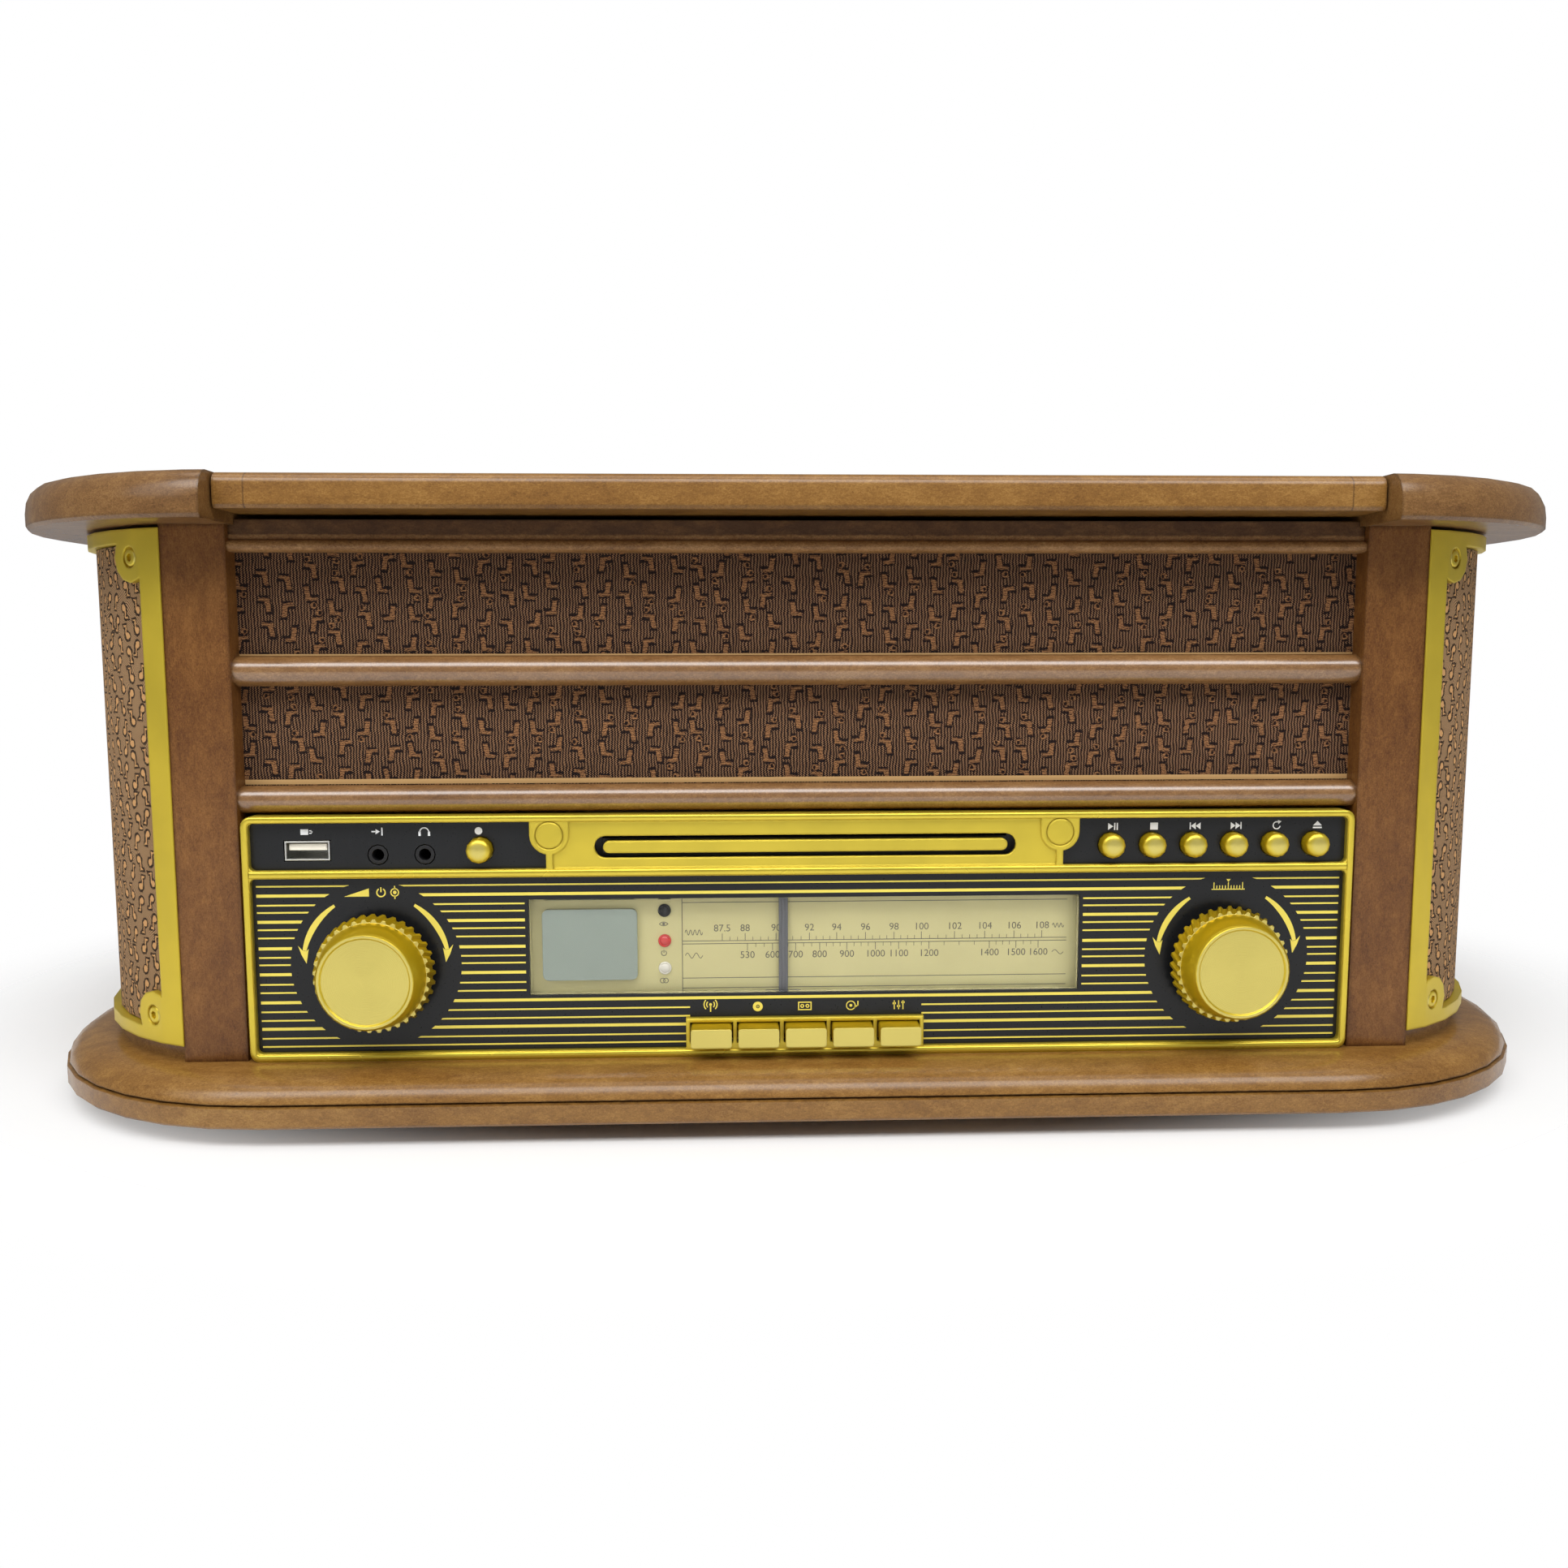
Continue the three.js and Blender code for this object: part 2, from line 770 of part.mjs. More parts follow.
function sideGrille(withTapeSlot) {
  const shell = planShell(grilleRadius, grilleRadius - grilleThickness, [grilleLow, grilleHigh]);
  const reach = [boardOuter, overallWidth / 2];
  const half = [-overallDepth / 2, overallDepth / 2];
  const grille = shell.intersect(block(reach, half, [0, capTop]));
  if (!withTapeSlot) {
    return grille;
  }
  const window = block(
    [cornerX, overallWidth / 2],
    span(0, tapeBezelRoom.length),
    span(plinthTop + tapeLift, tapeBezelRoom.height),
  );
  return cut(grille, window);
}

// The right-hand trim: two flanges, a stile at each end and four screwed ears
function sideTrim() {
  const low = plinthTop + trimLift;
  const high = capBase - trimTopGap;
  const reach = [boardOuter, overallWidth / 2];
  const half = [-overallDepth / 2, overallDepth / 2];
  const side = block(reach, half, [0, capTop]);
  const skin = planShell(trimRadius, trimInnerRadius, [low, high]);
  const lowFlange = planShell(trimRadius, trimFlangeInnerRadius, [low, low + trimFlangeHeight]);
  const highFlange = planShell(trimRadius, trimFlangeInnerRadius, [high - trimFlangeHeight, high]);
  const stileAngle = Math.asin((boardOuter - cornerX) / trimRadius);
  const earAngle = stileAngle + (trimEarArc - trimStileWidth / 2) / trimRadius;
  const earX = cornerX + trimRadius * Math.sin(earAngle);
  const lowEar = low + trimFlangeHeight + trimEarDrop;
  const highEar = high - trimFlangeHeight - trimEarDrop;
  const through = [-trimEarRadius, trimEarRadius];
  const kept = [];
  const recesses = [];
  for (const end of [-1, 1]) {
    const y = end * (cornerY + trimRadius * Math.cos(earAngle));
    const spin = end < 0 ? earAngle : 2 * quarterTurn - earAngle;
    const near = end < 0 ? [-overallDepth / 2, 0] : [0, overallDepth / 2];
    kept.push(block([boardOuter, boardOuter + trimStileWidth], near, [low, high]));
    for (const [z, edge] of [[lowEar, low], [highEar, high]]) {
      kept.push(disc(trimEarRadius, through, [earX, y, z], "front", smallSegments, spin));
      kept.push(block([boardOuter, earX], near, [Math.min(z, edge), Math.max(z, edge)]));
      const top = [-trimScrewDepth, trimEarRadius];
      recesses.push(disc(trimScrewRadius, top, [earX, y, z], "front", smallSegments, spin));
    }
  }
  const stiles = skin.intersect(join(kept)).intersect(side);
  const flanges = join(lowFlange, highFlange).intersect(side);
  return cut(join(flanges, stiles), recesses);
}

// The right-hand cap: the part of the rounded top board beside the lid
function topCap() {
  const base = cornerRadius;
  const whole = planSolid([
    [base - capEdgeBreak, capBase],
    [base, capBase + capEdgeBreak],
    ...quarterRound(base, capTop - capRoundHeight, capRoundWidth, capRoundHeight),
  ]);
  const side = block(
    [capInner, overallWidth],
    [-overallDepth, overallDepth],
    [capBase - overrun, capTop + overrun],
  );
  return whole.intersect(side);
}

// Back panel: vents, a mains inlet and two line sockets
function backPanel() {
  const board = block([-boardInner, boardInner], [backPanelFront, boardBack], [plinthTop, capBase]);
  const through = [backPanelFront - overrun, boardBack + overrun];
  const cuts = [];
  for (let i = 0; i < ventCount; i++) {
    const x = ventX + (i - (ventCount - 1) / 2) * ventPitch;
    cuts.push(block(span(x, ventWidth), through, span(plinthTop + ventLift, ventHeight)));
  }
  const inletZ = plinthTop + inletLift;
  const inletSize = [span(inletX, inletWidth), span(inletZ, inletHeight)];
  const inletShape = roundedOutline(...inletSize, inletHeight / 2);
  cuts.push(alongY(inletShape, [boardBack - inletDepth, boardBack + overrun]));
  const pins = [-1, 1].map((side) => {
    const place = [inletX + (side * inletPinPitch) / 2, boardBack - inletDepth - overrun, inletZ];
    return disc(inletPinRadius, [-inletDepth, 0], place, "front", pinSegments);
  });
  const sockets = [-1, 1].map((side) => {
    const place = [lineSocketX + (side * lineSocketPitch) / 2, boardBack, plinthTop + lineSocketLift];
    const reach = [-lineSocketReach, overrun];
    return tube(lineSocketRadius, lineSocketBore, reach, place, "front", smallSegments);
  });
  return join(cut(board, cuts), pins, sockets);
}

// Lid: a flat board with a rounded front edge
const lidFront = panelFront - lidOverhang;

function lid() {
  const round = quarterRound(0, capTop - lidRoundHeight, lidRoundDepth, lidRoundHeight);
  const edge = round.map(([inset, z]) => [lidFront - inset, z]);
  const outline = polygon([
    [boardBack, capTop],
    [boardBack, lidBase],
    [lidFront + lidEdgeBreak, lidBase],
    [lidFront, lidBase + lidEdgeBreak],
    ...edge,
  ]);
  return alongX(outline, span(0, lidWidth));
}

// A long hinge: knuckles take turns on the two leaves, and the pin stays with the cabinet's
function hingeKnuckle(i) {
  const pitch = hingeLength / hingeKnuckles;
  const start = -hingeLength / 2 + i * pitch;
  return [start + hingeKnuckleGap / 2, start + pitch - hingeKnuckleGap / 2];
}

function hingeLeaf(side, plateSpan) {
  const axis = [0, hingeY, hingeZ];
  const sheet = [boardBack, boardBack + hingeLeafThickness];
  const pieces = [block(span(0, hingeLength), sheet, plateSpan)];
  const inner = side === "lid" ? Math.min(...plateSpan) : Math.max(...plateSpan);
  for (let i = side === "lid" ? 1 : 0; i < hingeKnuckles; i += 2) {
    const along = hingeKnuckle(i);
    pieces.push(block(along, sheet, [Math.min(hingeZ, inner), Math.max(hingeZ, inner)]));
    pieces.push(disc(hingeBarrelRadius, along, axis, "right", pinSegments));
  }
  return join(pieces);
}

function hingeLidLeaf() {
  const low = hingeZ + hingeLeafClear;
  const along = span(0, hingeLength + overrun);
  const bore = disc(hingeBoreRadius, along, [0, hingeY, hingeZ], "right", pinSegments);
  return cut(hingeLeaf("lid", [low, low + hingeLidLeafHeight]), bore);
}

function hingeCabinetLeaf() {
  const high = hingeZ - hingeLeafClear;
  const pin = disc(hingePinRadius, span(0, hingeLength), [0, hingeY, hingeZ], "right", pinSegments);
  return join(hingeLeaf("cabinet", [high - hingeCabinetLeafHeight, high]), pin);
}

// Lid stay: a quadrant about the hinge that slides through a guide in the deck tray
function stayOutline(inner, outer, startDegrees, endDegrees) {
  const at = (radius, degrees) => {
    const angle = THREE.MathUtils.degToRad(degrees);
    return [hingeY - radius * Math.cos(angle), hingeZ - radius * Math.sin(angle)];
  };
  const turn = (i) => startDegrees + (i / staySteps) * (endDegrees - startDegrees);
  const steps = Array.from({ length: staySteps + 1 }, (_, i) => turn(i));
  return polygon([...steps.map((d) => at(outer, d)), ...steps.reverse().map((d) => at(inner, d))]);
}

function lidStay() {
  const inner = stayRadius - stayWidth / 2;
  const blade = alongX(
    stayOutline(inner, inner + stayWidth, stayStartDegrees, stayEndDegrees),
    span(stayX, stayThickness),
  );
  const seat = block(
    span(stayX, stayFootWidth),
    span(hingeY - stayRadius, stayFootLength),
    [lidBase - stayFootHeight, lidBase],
  );
  return join(blade, seat);
}

// Deck tray: floor and walls lining the top of the cabinet, with every seat moulded in
const deckFrontWall = grilleBoardBack;
const deckLeft = deckWall - boardInner;

function deckTray() {
  const outer = block([-boardInner, boardInner], [deckFrontWall, backPanelFront], [deckUnder, capBase]);
  const hollow = block(
    [deckLeft, -deckLeft],
    [deckFrontWall + deckWall, backPanelFront - deckWall],
    [deckFloor, capBase + overrun],
  );
  const shell = cut(outer, hollow);
  const platterAt = [platterX, platterY, deckFloor];
  const bearingSpan = [-deckThickness - bearingBossDepth, bearingBossHeight];
  const bearing = disc(bearingBossRadius, bearingSpan, platterAt, "up", smallSegments);
  const pedestal = disc(pedestalRadius, [-deckThickness, pedestalHeight], [armX, armY, deckFloor], "up");
  const restTop = armZ - armTubeRadius - clearance;
  const restX = [armX - armRestWidth / 2, armX + armRestWidth / 2];
  const rest = block(restX, span(armRestY, armRestLength), [deckUnder, restTop]);
  const lip = block(
    [restX[1] - armRestLipWidth, restX[1]],
    span(armRestY, armRestLength),
    [restTop - overrun, restTop + armRestLipRise],
  );
  const cueEars = [-1, 1].map((side) => {
    const inner = cueHubWidth / 2 + clearance;
    const x = cueX + side * (inner + cueEarThickness / 2);
    const top = deckFloor + cueAxisLift + cueHubRadius;
    return block(span(x, cueEarThickness), span(cueY, 2 * cueHubRadius), [deckUnder, top]);
  });
  const stayY = hingeY - stayRadius;
  const guideTop = capBase - stayGuideTopDrop;
  const guide = block(
    [deckLeft - overrun, stayX + stayFootWidth / 2],
    [stayY - stayGuideFront, stayY + stayGuideBack],
    [guideTop - stayGuideHeight, guideTop],
  );
  const raised = join(shell, bearing, pedestal, rest, lip, cueEars, guide);
  const staySpan = span(stayX, stayThickness + 2 * staySlotClearance);
  const stayInner = stayRadius - stayWidth / 2 - staySlotClearance;
  const stayCut = alongX(
    stayOutline(stayInner, stayInner + stayWidth + 2 * staySlotClearance, stayStartDegrees, stayEndDegrees),
    staySpan,
  );
  const deep = [-deckFloorHeight, deckFloorHeight];
  const upright = [
    [bearingBoreRadius, platterX, platterY],
    [yokeShaftRadius + clearance, armX, armY],
    [motorHoleRadius, motorX, motorY],
    [speedShaftRadius + clearance, speedX, speedY],
  ];
  const bores = upright.map(([radius, x, y]) => disc(radius, deep, [x, y, deckFloor], "up", smallSegments));
  const cuePinSpan = span(0, cueHubWidth + 2 * (2 * clearance + cueEarThickness));
  const cueAt = [cueX, cueY, deckFloor + cueAxisLift];
  bores.push(disc(cuePinRadius + armPinClearance, cuePinSpan, cueAt, "right", smallSegments));
  return cut(raised, stayCut, bores);
}

// Platter with its rim, web, hub, bearing shaft and spindle in one turned piece
const platterBase = deckFloor + platterLift;
const platterTop = platterBase + platterHeight;

function platter() {
  const inner = platterRadius - platterRimWidth;
  const web = platterHeight - platterWebThickness;
  const tip = platterHeight + spindleHeight;
  const profile = [
    [0, -bearingShaftLength],
    [bearingShaftRadius, -bearingShaftLength],
    [bearingShaftRadius, 0],
    [platterHubRadius, 0],
    [platterHubRadius, web],
    [inner, web],
    [inner, 0],
    [platterRadius, 0],
    [platterRadius, platterHeight - platterEdgeBreak],
    [platterRadius - platterEdgeBreak, platterHeight],
    [spindleRadius, platterHeight],
    [spindleRadius, tip - spindleTip],
    [spindleRadius / 2, tip],
    [0, tip],
  ];
  return turned(profile, [platterX, platterY, platterBase], "up", largeSegments);
}

function platterMat() {
  const radius = platterRadius - 2 * platterEdgeBreak;
  const place = [platterX, platterY, platterTop];
  return tube(radius, matHoleRadius, [0, matThickness], place, "up", largeSegments);
}

function turntableMotor() {
  const place = [motorX, motorY, deckUnder];
  const pulleyLow = deckThickness + clearance;
  return join(
    disc(motorRadius, [-motorHeight, 0], place, "up", smallSegments),
    disc(motorShaftRadius, [-overrun, pulleyLow + overrun], place, "up", pinSegments),
    disc(motorPulleyRadius, [pulleyLow, pulleyLow + motorPulleyHeight], place, "up", smallSegments),
  );
}

// Yoke: a turning disc with two ears that hold the arm's pin
function tonearmYoke() {
  const low = deckFloor + pedestalHeight + clearance;
  const place = [armX, armY, low];
  const top = armZ + yokeEarRise;
  const ears = [-1, 1].map((side) => {
    const x = armX + side * (yokeEarInner + yokeEarThickness / 2);
    return block(span(x, yokeEarThickness), span(armY, yokeEarWidth), [low + overrun, top]);
  });
  const plate = disc(yokeRadius, [0, yokeThickness], place, "up");
  const shaft = disc(yokeShaftRadius, [-yokeShaftLength, overrun], place, "up", pinSegments);
  const pinHole = disc(
    armPinRadius + armPinClearance,
    span(0, 4 * yokeEarInner),
    [armX, armY, armZ],
    "right",
    pinSegments,
  );
  return cut(join(plate, shaft, ears), pinHole);
}

// Tonearm: pivot block and pin, straight tube, offset head with its cartridge, tail weight
function tonearm() {
  const pivot = [armX, armY, armZ];
  const hub = block(span(armX, armBlockWidth), span(armY, armBlockLength), span(armZ, armBlockHeight));
  const pinSpan = span(0, 2 * (yokeEarInner + yokeEarThickness));
  const pin = disc(armPinRadius, pinSpan, pivot, "right", pinSegments);
  const tubeSpan = [-armTailLength, armLength - headLength / 2];
  const bar = disc(armTubeRadius, tubeSpan, pivot, "front", smallSegments);
  const weightPlace = [armX, armY + armTailLength, armZ];
  const weight = disc(armWeightRadius, [-armWeightLength, 0], weightPlace, "front", smallSegments);
  const head = new THREE.BoxGeometry(headWidth, headLength, headHeight);
  const cartridge = new THREE.BoxGeometry(cartridgeWidth, cartridgeLength, cartridgeHeight);
  cartridge.translate(0, 0, -(headHeight + cartridgeHeight) / 2 + clearance);
  const offset = THREE.MathUtils.degToRad(-headOffsetDegrees);
  const headY = armY - armLength + headLength / 4;
  const parts = [head, cartridge].map((box) => solid(box.rotateZ(offset).translate(armX, headY, armZ)));
  return join(hub, pin, bar, weight, parts);
}

function cueLever() {
  const place = [cueX, cueY, deckFloor + cueAxisLift];
  const pinSpan = span(0, cueHubWidth + 2 * (clearance + cueEarThickness));
  const hub = disc(cueHubRadius - clearance, span(0, cueHubWidth), place, "right", smallSegments);
  const pin = disc(cuePinRadius, pinSpan, place, "right", smallSegments);
  const [x, y, z] = place;
  const lever = block(span(x, cueHubWidth), [y - cueLeverLength, y], span(z, cueLeverThickness));
  const pad = block(
    span(x, cuePadWidth + cueLeverThickness),
    [y - cueLeverLength - cuePadLength, y - cueLeverLength + overrun],
    span(z, cueLeverThickness),
  );
  return join(hub, pin, lever, pad);
}

function speedSwitch() {
  const place = [speedX, speedY, deckFloor + clearance];
  const lever = block(
    span(speedX, speedLeverWidth),
    [speedY - speedLeverReach, speedY + speedDiscRadius / 2],
    [deckFloor + clearance, deckFloor + clearance + speedDiscHeight + speedLeverHeight],
  );
  return join(
    disc(speedDiscRadius, [0, speedDiscHeight], place, "up"),
    disc(speedShaftRadius, [-speedShaftLength, overrun], place, "up", pinSegments),
    lever,
  );
}

// Openings of the front panel, shared by the gold moulding and the black facia
const slotZ = plinthTop + slotLift;
const keyZ = plinthTop + keyLift + keyHeight / 2;
const knobZ = plinthTop + knobLift;
const buttonZ = plinthTop + buttonLift;
const keyNumbers = Array.from({ length: keyCount }, (_, i) => i);
const keyXs = keyNumbers.map((i) => keyRowX + (i - (keyCount - 1) / 2) * keyPitch);
const transportNumbers = Array.from({ length: transportCount }, (_, i) => i);
const transportXs = transportNumbers.map((i) => transportButtonX + i * transportPitch);
const stripSpan = [plinthTop + stripLow, plinthTop + stripHigh];

const slotOutline = roundedOutline(span(0, slotWidth), span(slotZ, slotHeight), slotHeight / 2);

function lobe(side, depth) {
  const x = side * bossX;
  const z = plinthTop + bossLift;
  return join(
    disc(bossRadius, [-depth[1], -depth[0]], [x, 0, z], "front"),
    block(span(x, 2 * bossRadius), depth, [z, stripSpan[1] + overrun]),
    block(span(x, bossStem), depth, [stripSpan[0] - overrun, z]),
  );
}

function frontPanel() {
  const whole = [span(0, panelWidth), [plinthTop, plinthTop + panelHeight]];
  const face = [panelFront, faciaFront];
  const through = [panelFront - overrun, faciaFront + overrun];
  const plate = alongY(roundedOutline(...whole, panelRadius), face);
  const inset = (width) => [
    span(0, panelWidth - 2 * width),
    [plinthTop + width, plinthTop + panelHeight - width],
  ];
  const skirtRoom = alongY(
    roundedOutline(...inset(mouldingSkirt), panelRadius - mouldingSkirt),
    [faciaFront, panelFront + mouldingDepth + overrun],
  );
  const skirtSpan = [faciaFront, panelFront + mouldingDepth];
  const skirt = cut(alongY(roundedOutline(...whole, panelRadius), skirtSpan), skirtRoom);
  const rimX = panelWidth / 2 - panelRim;
  const lobes = join(lobe(-1, through), lobe(1, through));
  const strips = [-1, 1].map((side) => {
    const ends = [side * rimX, side * bossX].sort((a, b) => a - b);
    return cut(alongY(roundedOutline(ends, stripSpan, openingRadius), through), lobes);
  });
  const keySpan = keyCount * keyPitch + keySurround;
  const keyTop = keyZ + keyHeight / 2 + keyGap + keySurround;
  const surround = block(span(keyRowX, keySpan), through, [plinthTop, keyTop]);
  const fieldSpan = [plinthTop + fieldLow, plinthTop + fieldHigh];
  const fieldOutline = roundedOutline([-rimX, rimX], fieldSpan, openingRadius);
  const field = cut(alongY(fieldOutline, through), surround);
  const keyHoles = keyXs.map((x) =>
    block(span(x, keyWidth + 2 * keyGap), through, span(keyZ, keyHeight + 2 * keyGap)),
  );
  const slot = alongY(slotOutline, through);
  const sink = cut(
    block([-bossX, bossX], [panelFront - overrun, panelFront + panelSink], stripSpan),
    lobes,
  );
  const grooves = [-1, 1].map((side) =>
    tube(
      bossPlugRadius + bossGroove,
      bossPlugRadius,
      [-bossGrooveDepth, overrun],
      [side * bossX, panelFront, plinthTop + bossLift],
      "front",
    ),
  );
  return join(cut(plate, strips, field, keyHoles, slot, sink, grooves), skirt);
}

function faciaPanel() {
  const edge = mouldingSkirt + clearance;
  const upright = [plinthTop + edge, plinthTop + panelHeight - edge];
  const outline = roundedOutline(span(0, panelWidth - 2 * edge), upright, panelRadius - edge);
  const plate = alongY(outline, [faciaFront, faciaBack]);
  const through = [faciaFront - overrun, faciaBack + overrun];
  const bore = [-through[1], -through[0]];
  const hole = (radius, x, z) => disc(radius, bore, [x, 0, z], "front", smallSegments);
  const windowSpan = [plinthTop + windowLift, plinthTop + windowLift + windowHeight];
  const keyWidthAll = (keyCount - 1) * keyPitch + keyWidth + 2 * keyGap;
  const buttons = [recordButtonX, ...transportXs].map((x) => hole(buttonRadius + clearance, x, buttonZ));
  const knobs = [-knobX, knobX].map((x) => hole(knobShaftRadius + clearance, x, knobZ));
  const jacks = jackPositions.map((x) => hole(jackRadius + clearance, x, plinthTop + jackLift));
  return cut(
    plate,
    block(span(0, windowWidth), through, windowSpan),
    block(span(keyRowX, keyWidthAll), through, span(keyZ, keyHeight + 2 * keyGap)),
    alongY(slotOutline, through),
    block(span(usbX, usbWidth + 2 * clearance), through, span(buttonZ, usbHeight + 2 * clearance)),
    buttons,
    knobs,
    jacks,
  );
}

// Dial: a clear stepped window in front, a shallow plate box behind and the pointer between
const windowLow = plinthTop + windowLift;
const windowHigh = windowLow + windowHeight;
const dialFace = panelFront + dialPlateDepth;
const dialInner = [windowLow - windowFlange - dialWallMargin, windowHigh + windowFlange + dialWallMargin];

function dialWindow() {
  const step = [windowLow - windowFlange, windowHigh + windowFlange];
  return join(
    block(
      span(0, windowWidth - 2 * clearance),
      [faciaFront, faciaBack + overrun / 2],
      [windowLow + clearance, windowHigh - clearance],
    ),
    block(span(0, windowWidth + 2 * windowFlange), [faciaBack, faciaBack + windowFlangeThickness], step),
  );
}

function dialPlate() {
  const innerHalf = windowWidth / 2 + windowFlange + dialWallMargin;
  const box = block(
    [-innerHalf - dialWall, innerHalf + dialWall],
    [faciaBack, dialFace + dialPlateThickness],
    [dialInner[0] - dialWall, dialInner[1] + dialWall],
  );
  const hollow = block([-innerHalf, innerHalf], [faciaBack - overrun, dialFace], dialInner);
  return cut(box, hollow);
}

function displayModule() {
  const low = plinthTop + displayLift;
  const upright = [low, low + displayHeight];
  const outline = roundedOutline(span(displayX, displayWidth), upright, displayRadius);
  return alongY(outline, [dialFace - displayThickness, dialFace]);
}

function dialPointer() {
  const front = faciaBack + windowFlangeThickness + pointerGap;
  const needle = block(
    span(pointerX, pointerNeedleWidth),
    [front, front + pointerNeedleThickness + pointerThickness],
    [windowLow, windowHigh - clearance],
  );
  const carrier = block(
    span(pointerX, pointerCarrierWidth),
    [front + pointerNeedleThickness, front + pointerNeedleThickness + pointerThickness],
    [dialInner[0] + clearance, windowHigh],
  );
  const shoe = block(
    span(pointerX, pointerFootWidth),
    [front, dialFace - pointerGap],
    [dialInner[0] + clearance, dialInner[0] + clearance + pointerFootHeight],
  );
  return join(needle, carrier, shoe);
}

// Knob about its own axis: ridged skirt, cone, dished face, hub and shaft. The panel's front is at zero
function knobRidgeRing(base, crest, h, slant) {
  const turn = (2 * Math.PI) / knobRidges;
  const corners = [
    [base, -knobRidgeWidthShare],
    [crest, -knobRidgeCrestShare],
    [crest, knobRidgeCrestShare],
    [base, knobRidgeWidthShare],
  ];
  return Array.from({ length: knobRidges }, (_, i) =>
    corners.map(([radius, share]) => {
      const angle = (i + share + slant) * turn;
      return [radius * Math.cos(angle), -h, radius * Math.sin(angle)];
    }),
  ).flat();
}

function knob() {
  const crestFront = knobRidgeRadius - knobRidgeTaper;
  const ridgeFront = knobRear + knobRidgeLength;
  const coneRear = crestFront - knobRidgeRise;
  const skirt = ringStack([
    knobRidgeRing(knobRidgeRadius - knobRidgeRise, knobRidgeRadius, knobRear, 0),
    knobRidgeRing(coneRear, crestFront, ridgeFront, knobRidgeSlantShare),
  ]);
  const edge = knobReach - knobEdgeBreak;
  const shaft = turned(
    [
      [0, -knobShaftLength],
      [knobShaftRadius, -knobShaftLength],
      [knobShaftRadius, -mouldingThickness + clearance],
      [knobHubRadius, -mouldingThickness + clearance],
      [knobHubRadius, knobRear + overrun],
      [0, knobRear + overrun],
    ],
    [0, 0, 0],
    "front",
    smallSegments,
  );
  const profile = [
    [0, ridgeFront],
    [coneRear - knobRidgeLedge, ridgeFront],
    [knobFaceRadius, edge],
    [knobFaceRadius - knobEdgeBreak, knobReach],
    [knobFaceRadius - knobFaceRim, knobReach],
    [knobFaceRadius - knobFaceRim - knobFaceSink, knobReach - knobFaceSink],
    [0, knobReach - knobFaceSink],
  ];
  return join(shaft, skirt, turned(profile, [0, 0, 0], "front", knobRidges));
}

function functionKey() {
  const outline = roundedOutline(span(0, keyWidth), span(0, keyHeight), keyRadius);
  return alongY(outline, [-keyReach, keyDepth], 1);
}

// Push button about its own axis: a domed cap and a flange behind the facia
function pushButton() {
  const flange = -mouldingThickness - faciaThickness - clearance;
  const dome = Array.from({ length: roundSteps + 1 }, (_, i) => {
    const angle = (i / roundSteps) * quarterTurn;
    const height = buttonReach - buttonDomeHeight + buttonDomeHeight * Math.sin(angle);
    return [buttonRadius * Math.cos(angle), height];
  });
  const profile = [
    [0, flange - buttonFlangeThickness],
    [buttonFlangeRadius, flange - buttonFlangeThickness],
    [buttonFlangeRadius, flange],
    [buttonRadius, flange],
    ...dome.slice(0, -1),
    [0, buttonReach],
  ];
  return turned(profile, [0, 0, 0], "front", smallSegments);
}

// Sockets: a metal shell with its tongue and two jack barrels on one small board
function socketBoard() {
  const boardFace = faciaFront + usbDepth;
  const jackZ = plinthTop + jackLift;
  const shell = cut(
    block(span(usbX, usbWidth), [faciaFront, boardFace], span(buttonZ, usbHeight)),
    block(
      span(usbX, usbWidth - 2 * usbWall),
      [faciaFront - overrun, boardFace - overrun],
      span(buttonZ, usbHeight - 2 * usbWall),
    ),
  );
  const tongueTop = buttonZ + usbHeight / 2 - 2 * usbWall;
  const tongue = block(
    span(usbX, usbTongueWidth),
    [faciaFront + usbTongueSetback, boardFace],
    [tongueTop - usbTongueHeight, tongueTop],
  );
  const barrelSpan = [-usbDepth - overrun, 0];
  const barrels = jackPositions.map((x) =>
    join(
      tube(jackRadius, jackBoreRadius, barrelSpan, [x, faciaFront, jackZ], "front", smallSegments),
      block(span(x, jackBlockWidth), [boardFace - overrun, boardFace], span(jackZ, jackBlockWidth)),
    ),
  );
  const right = jackPositions[jackPositions.length - 1] + jackBlockWidth / 2 + jackBoardMargin;
  const sheet = block(
    [usbX - usbWidth / 2 - jackBoardMargin, right],
    [boardFace, boardFace + jackBoardThickness],
    span(jackZ, jackBlockWidth),
  );
  return join(shell, tongue, barrels, sheet);
}

// Disc tray: a recess for the disc and a hole for the clamp, behind a door with round ends
const trayFront = panelFront + trayDoorSetback;
const trayBodyFront = trayFront + trayDoorDepth;

function discTrayDoor() {
  const outline = roundedOutline(span(0, trayDoorWidth), span(slotZ, trayDoorHeight), trayDoorHeight / 2);
  return alongY(outline, [trayFront, trayBodyFront], roundSteps);
}

function discTray() {
  const bodySpan = [trayBodyFront, trayBodyFront + trayLength];
  const body = block(span(0, trayWidth), bodySpan, span(slotZ, trayHeight));
  const discY = trayBodyFront + discRadius + 2 * trayDoorDepth;
  const top = slotZ + trayHeight / 2;
  const recess = disc(discRadius, [-discRecessDepth, overrun], [0, discY, top], "up");
  const hole = disc(discHoleRadius, [-2 * trayHeight, overrun], [0, discY, top], "up", smallSegments);
  const back = block(
    span(0, 2 * discHoleRadius),
    [discY, trayBodyFront + trayLength + overrun],
    [top - 2 * trayHeight, top + overrun],
  );
  return cut(body, recess, hole, back);
}

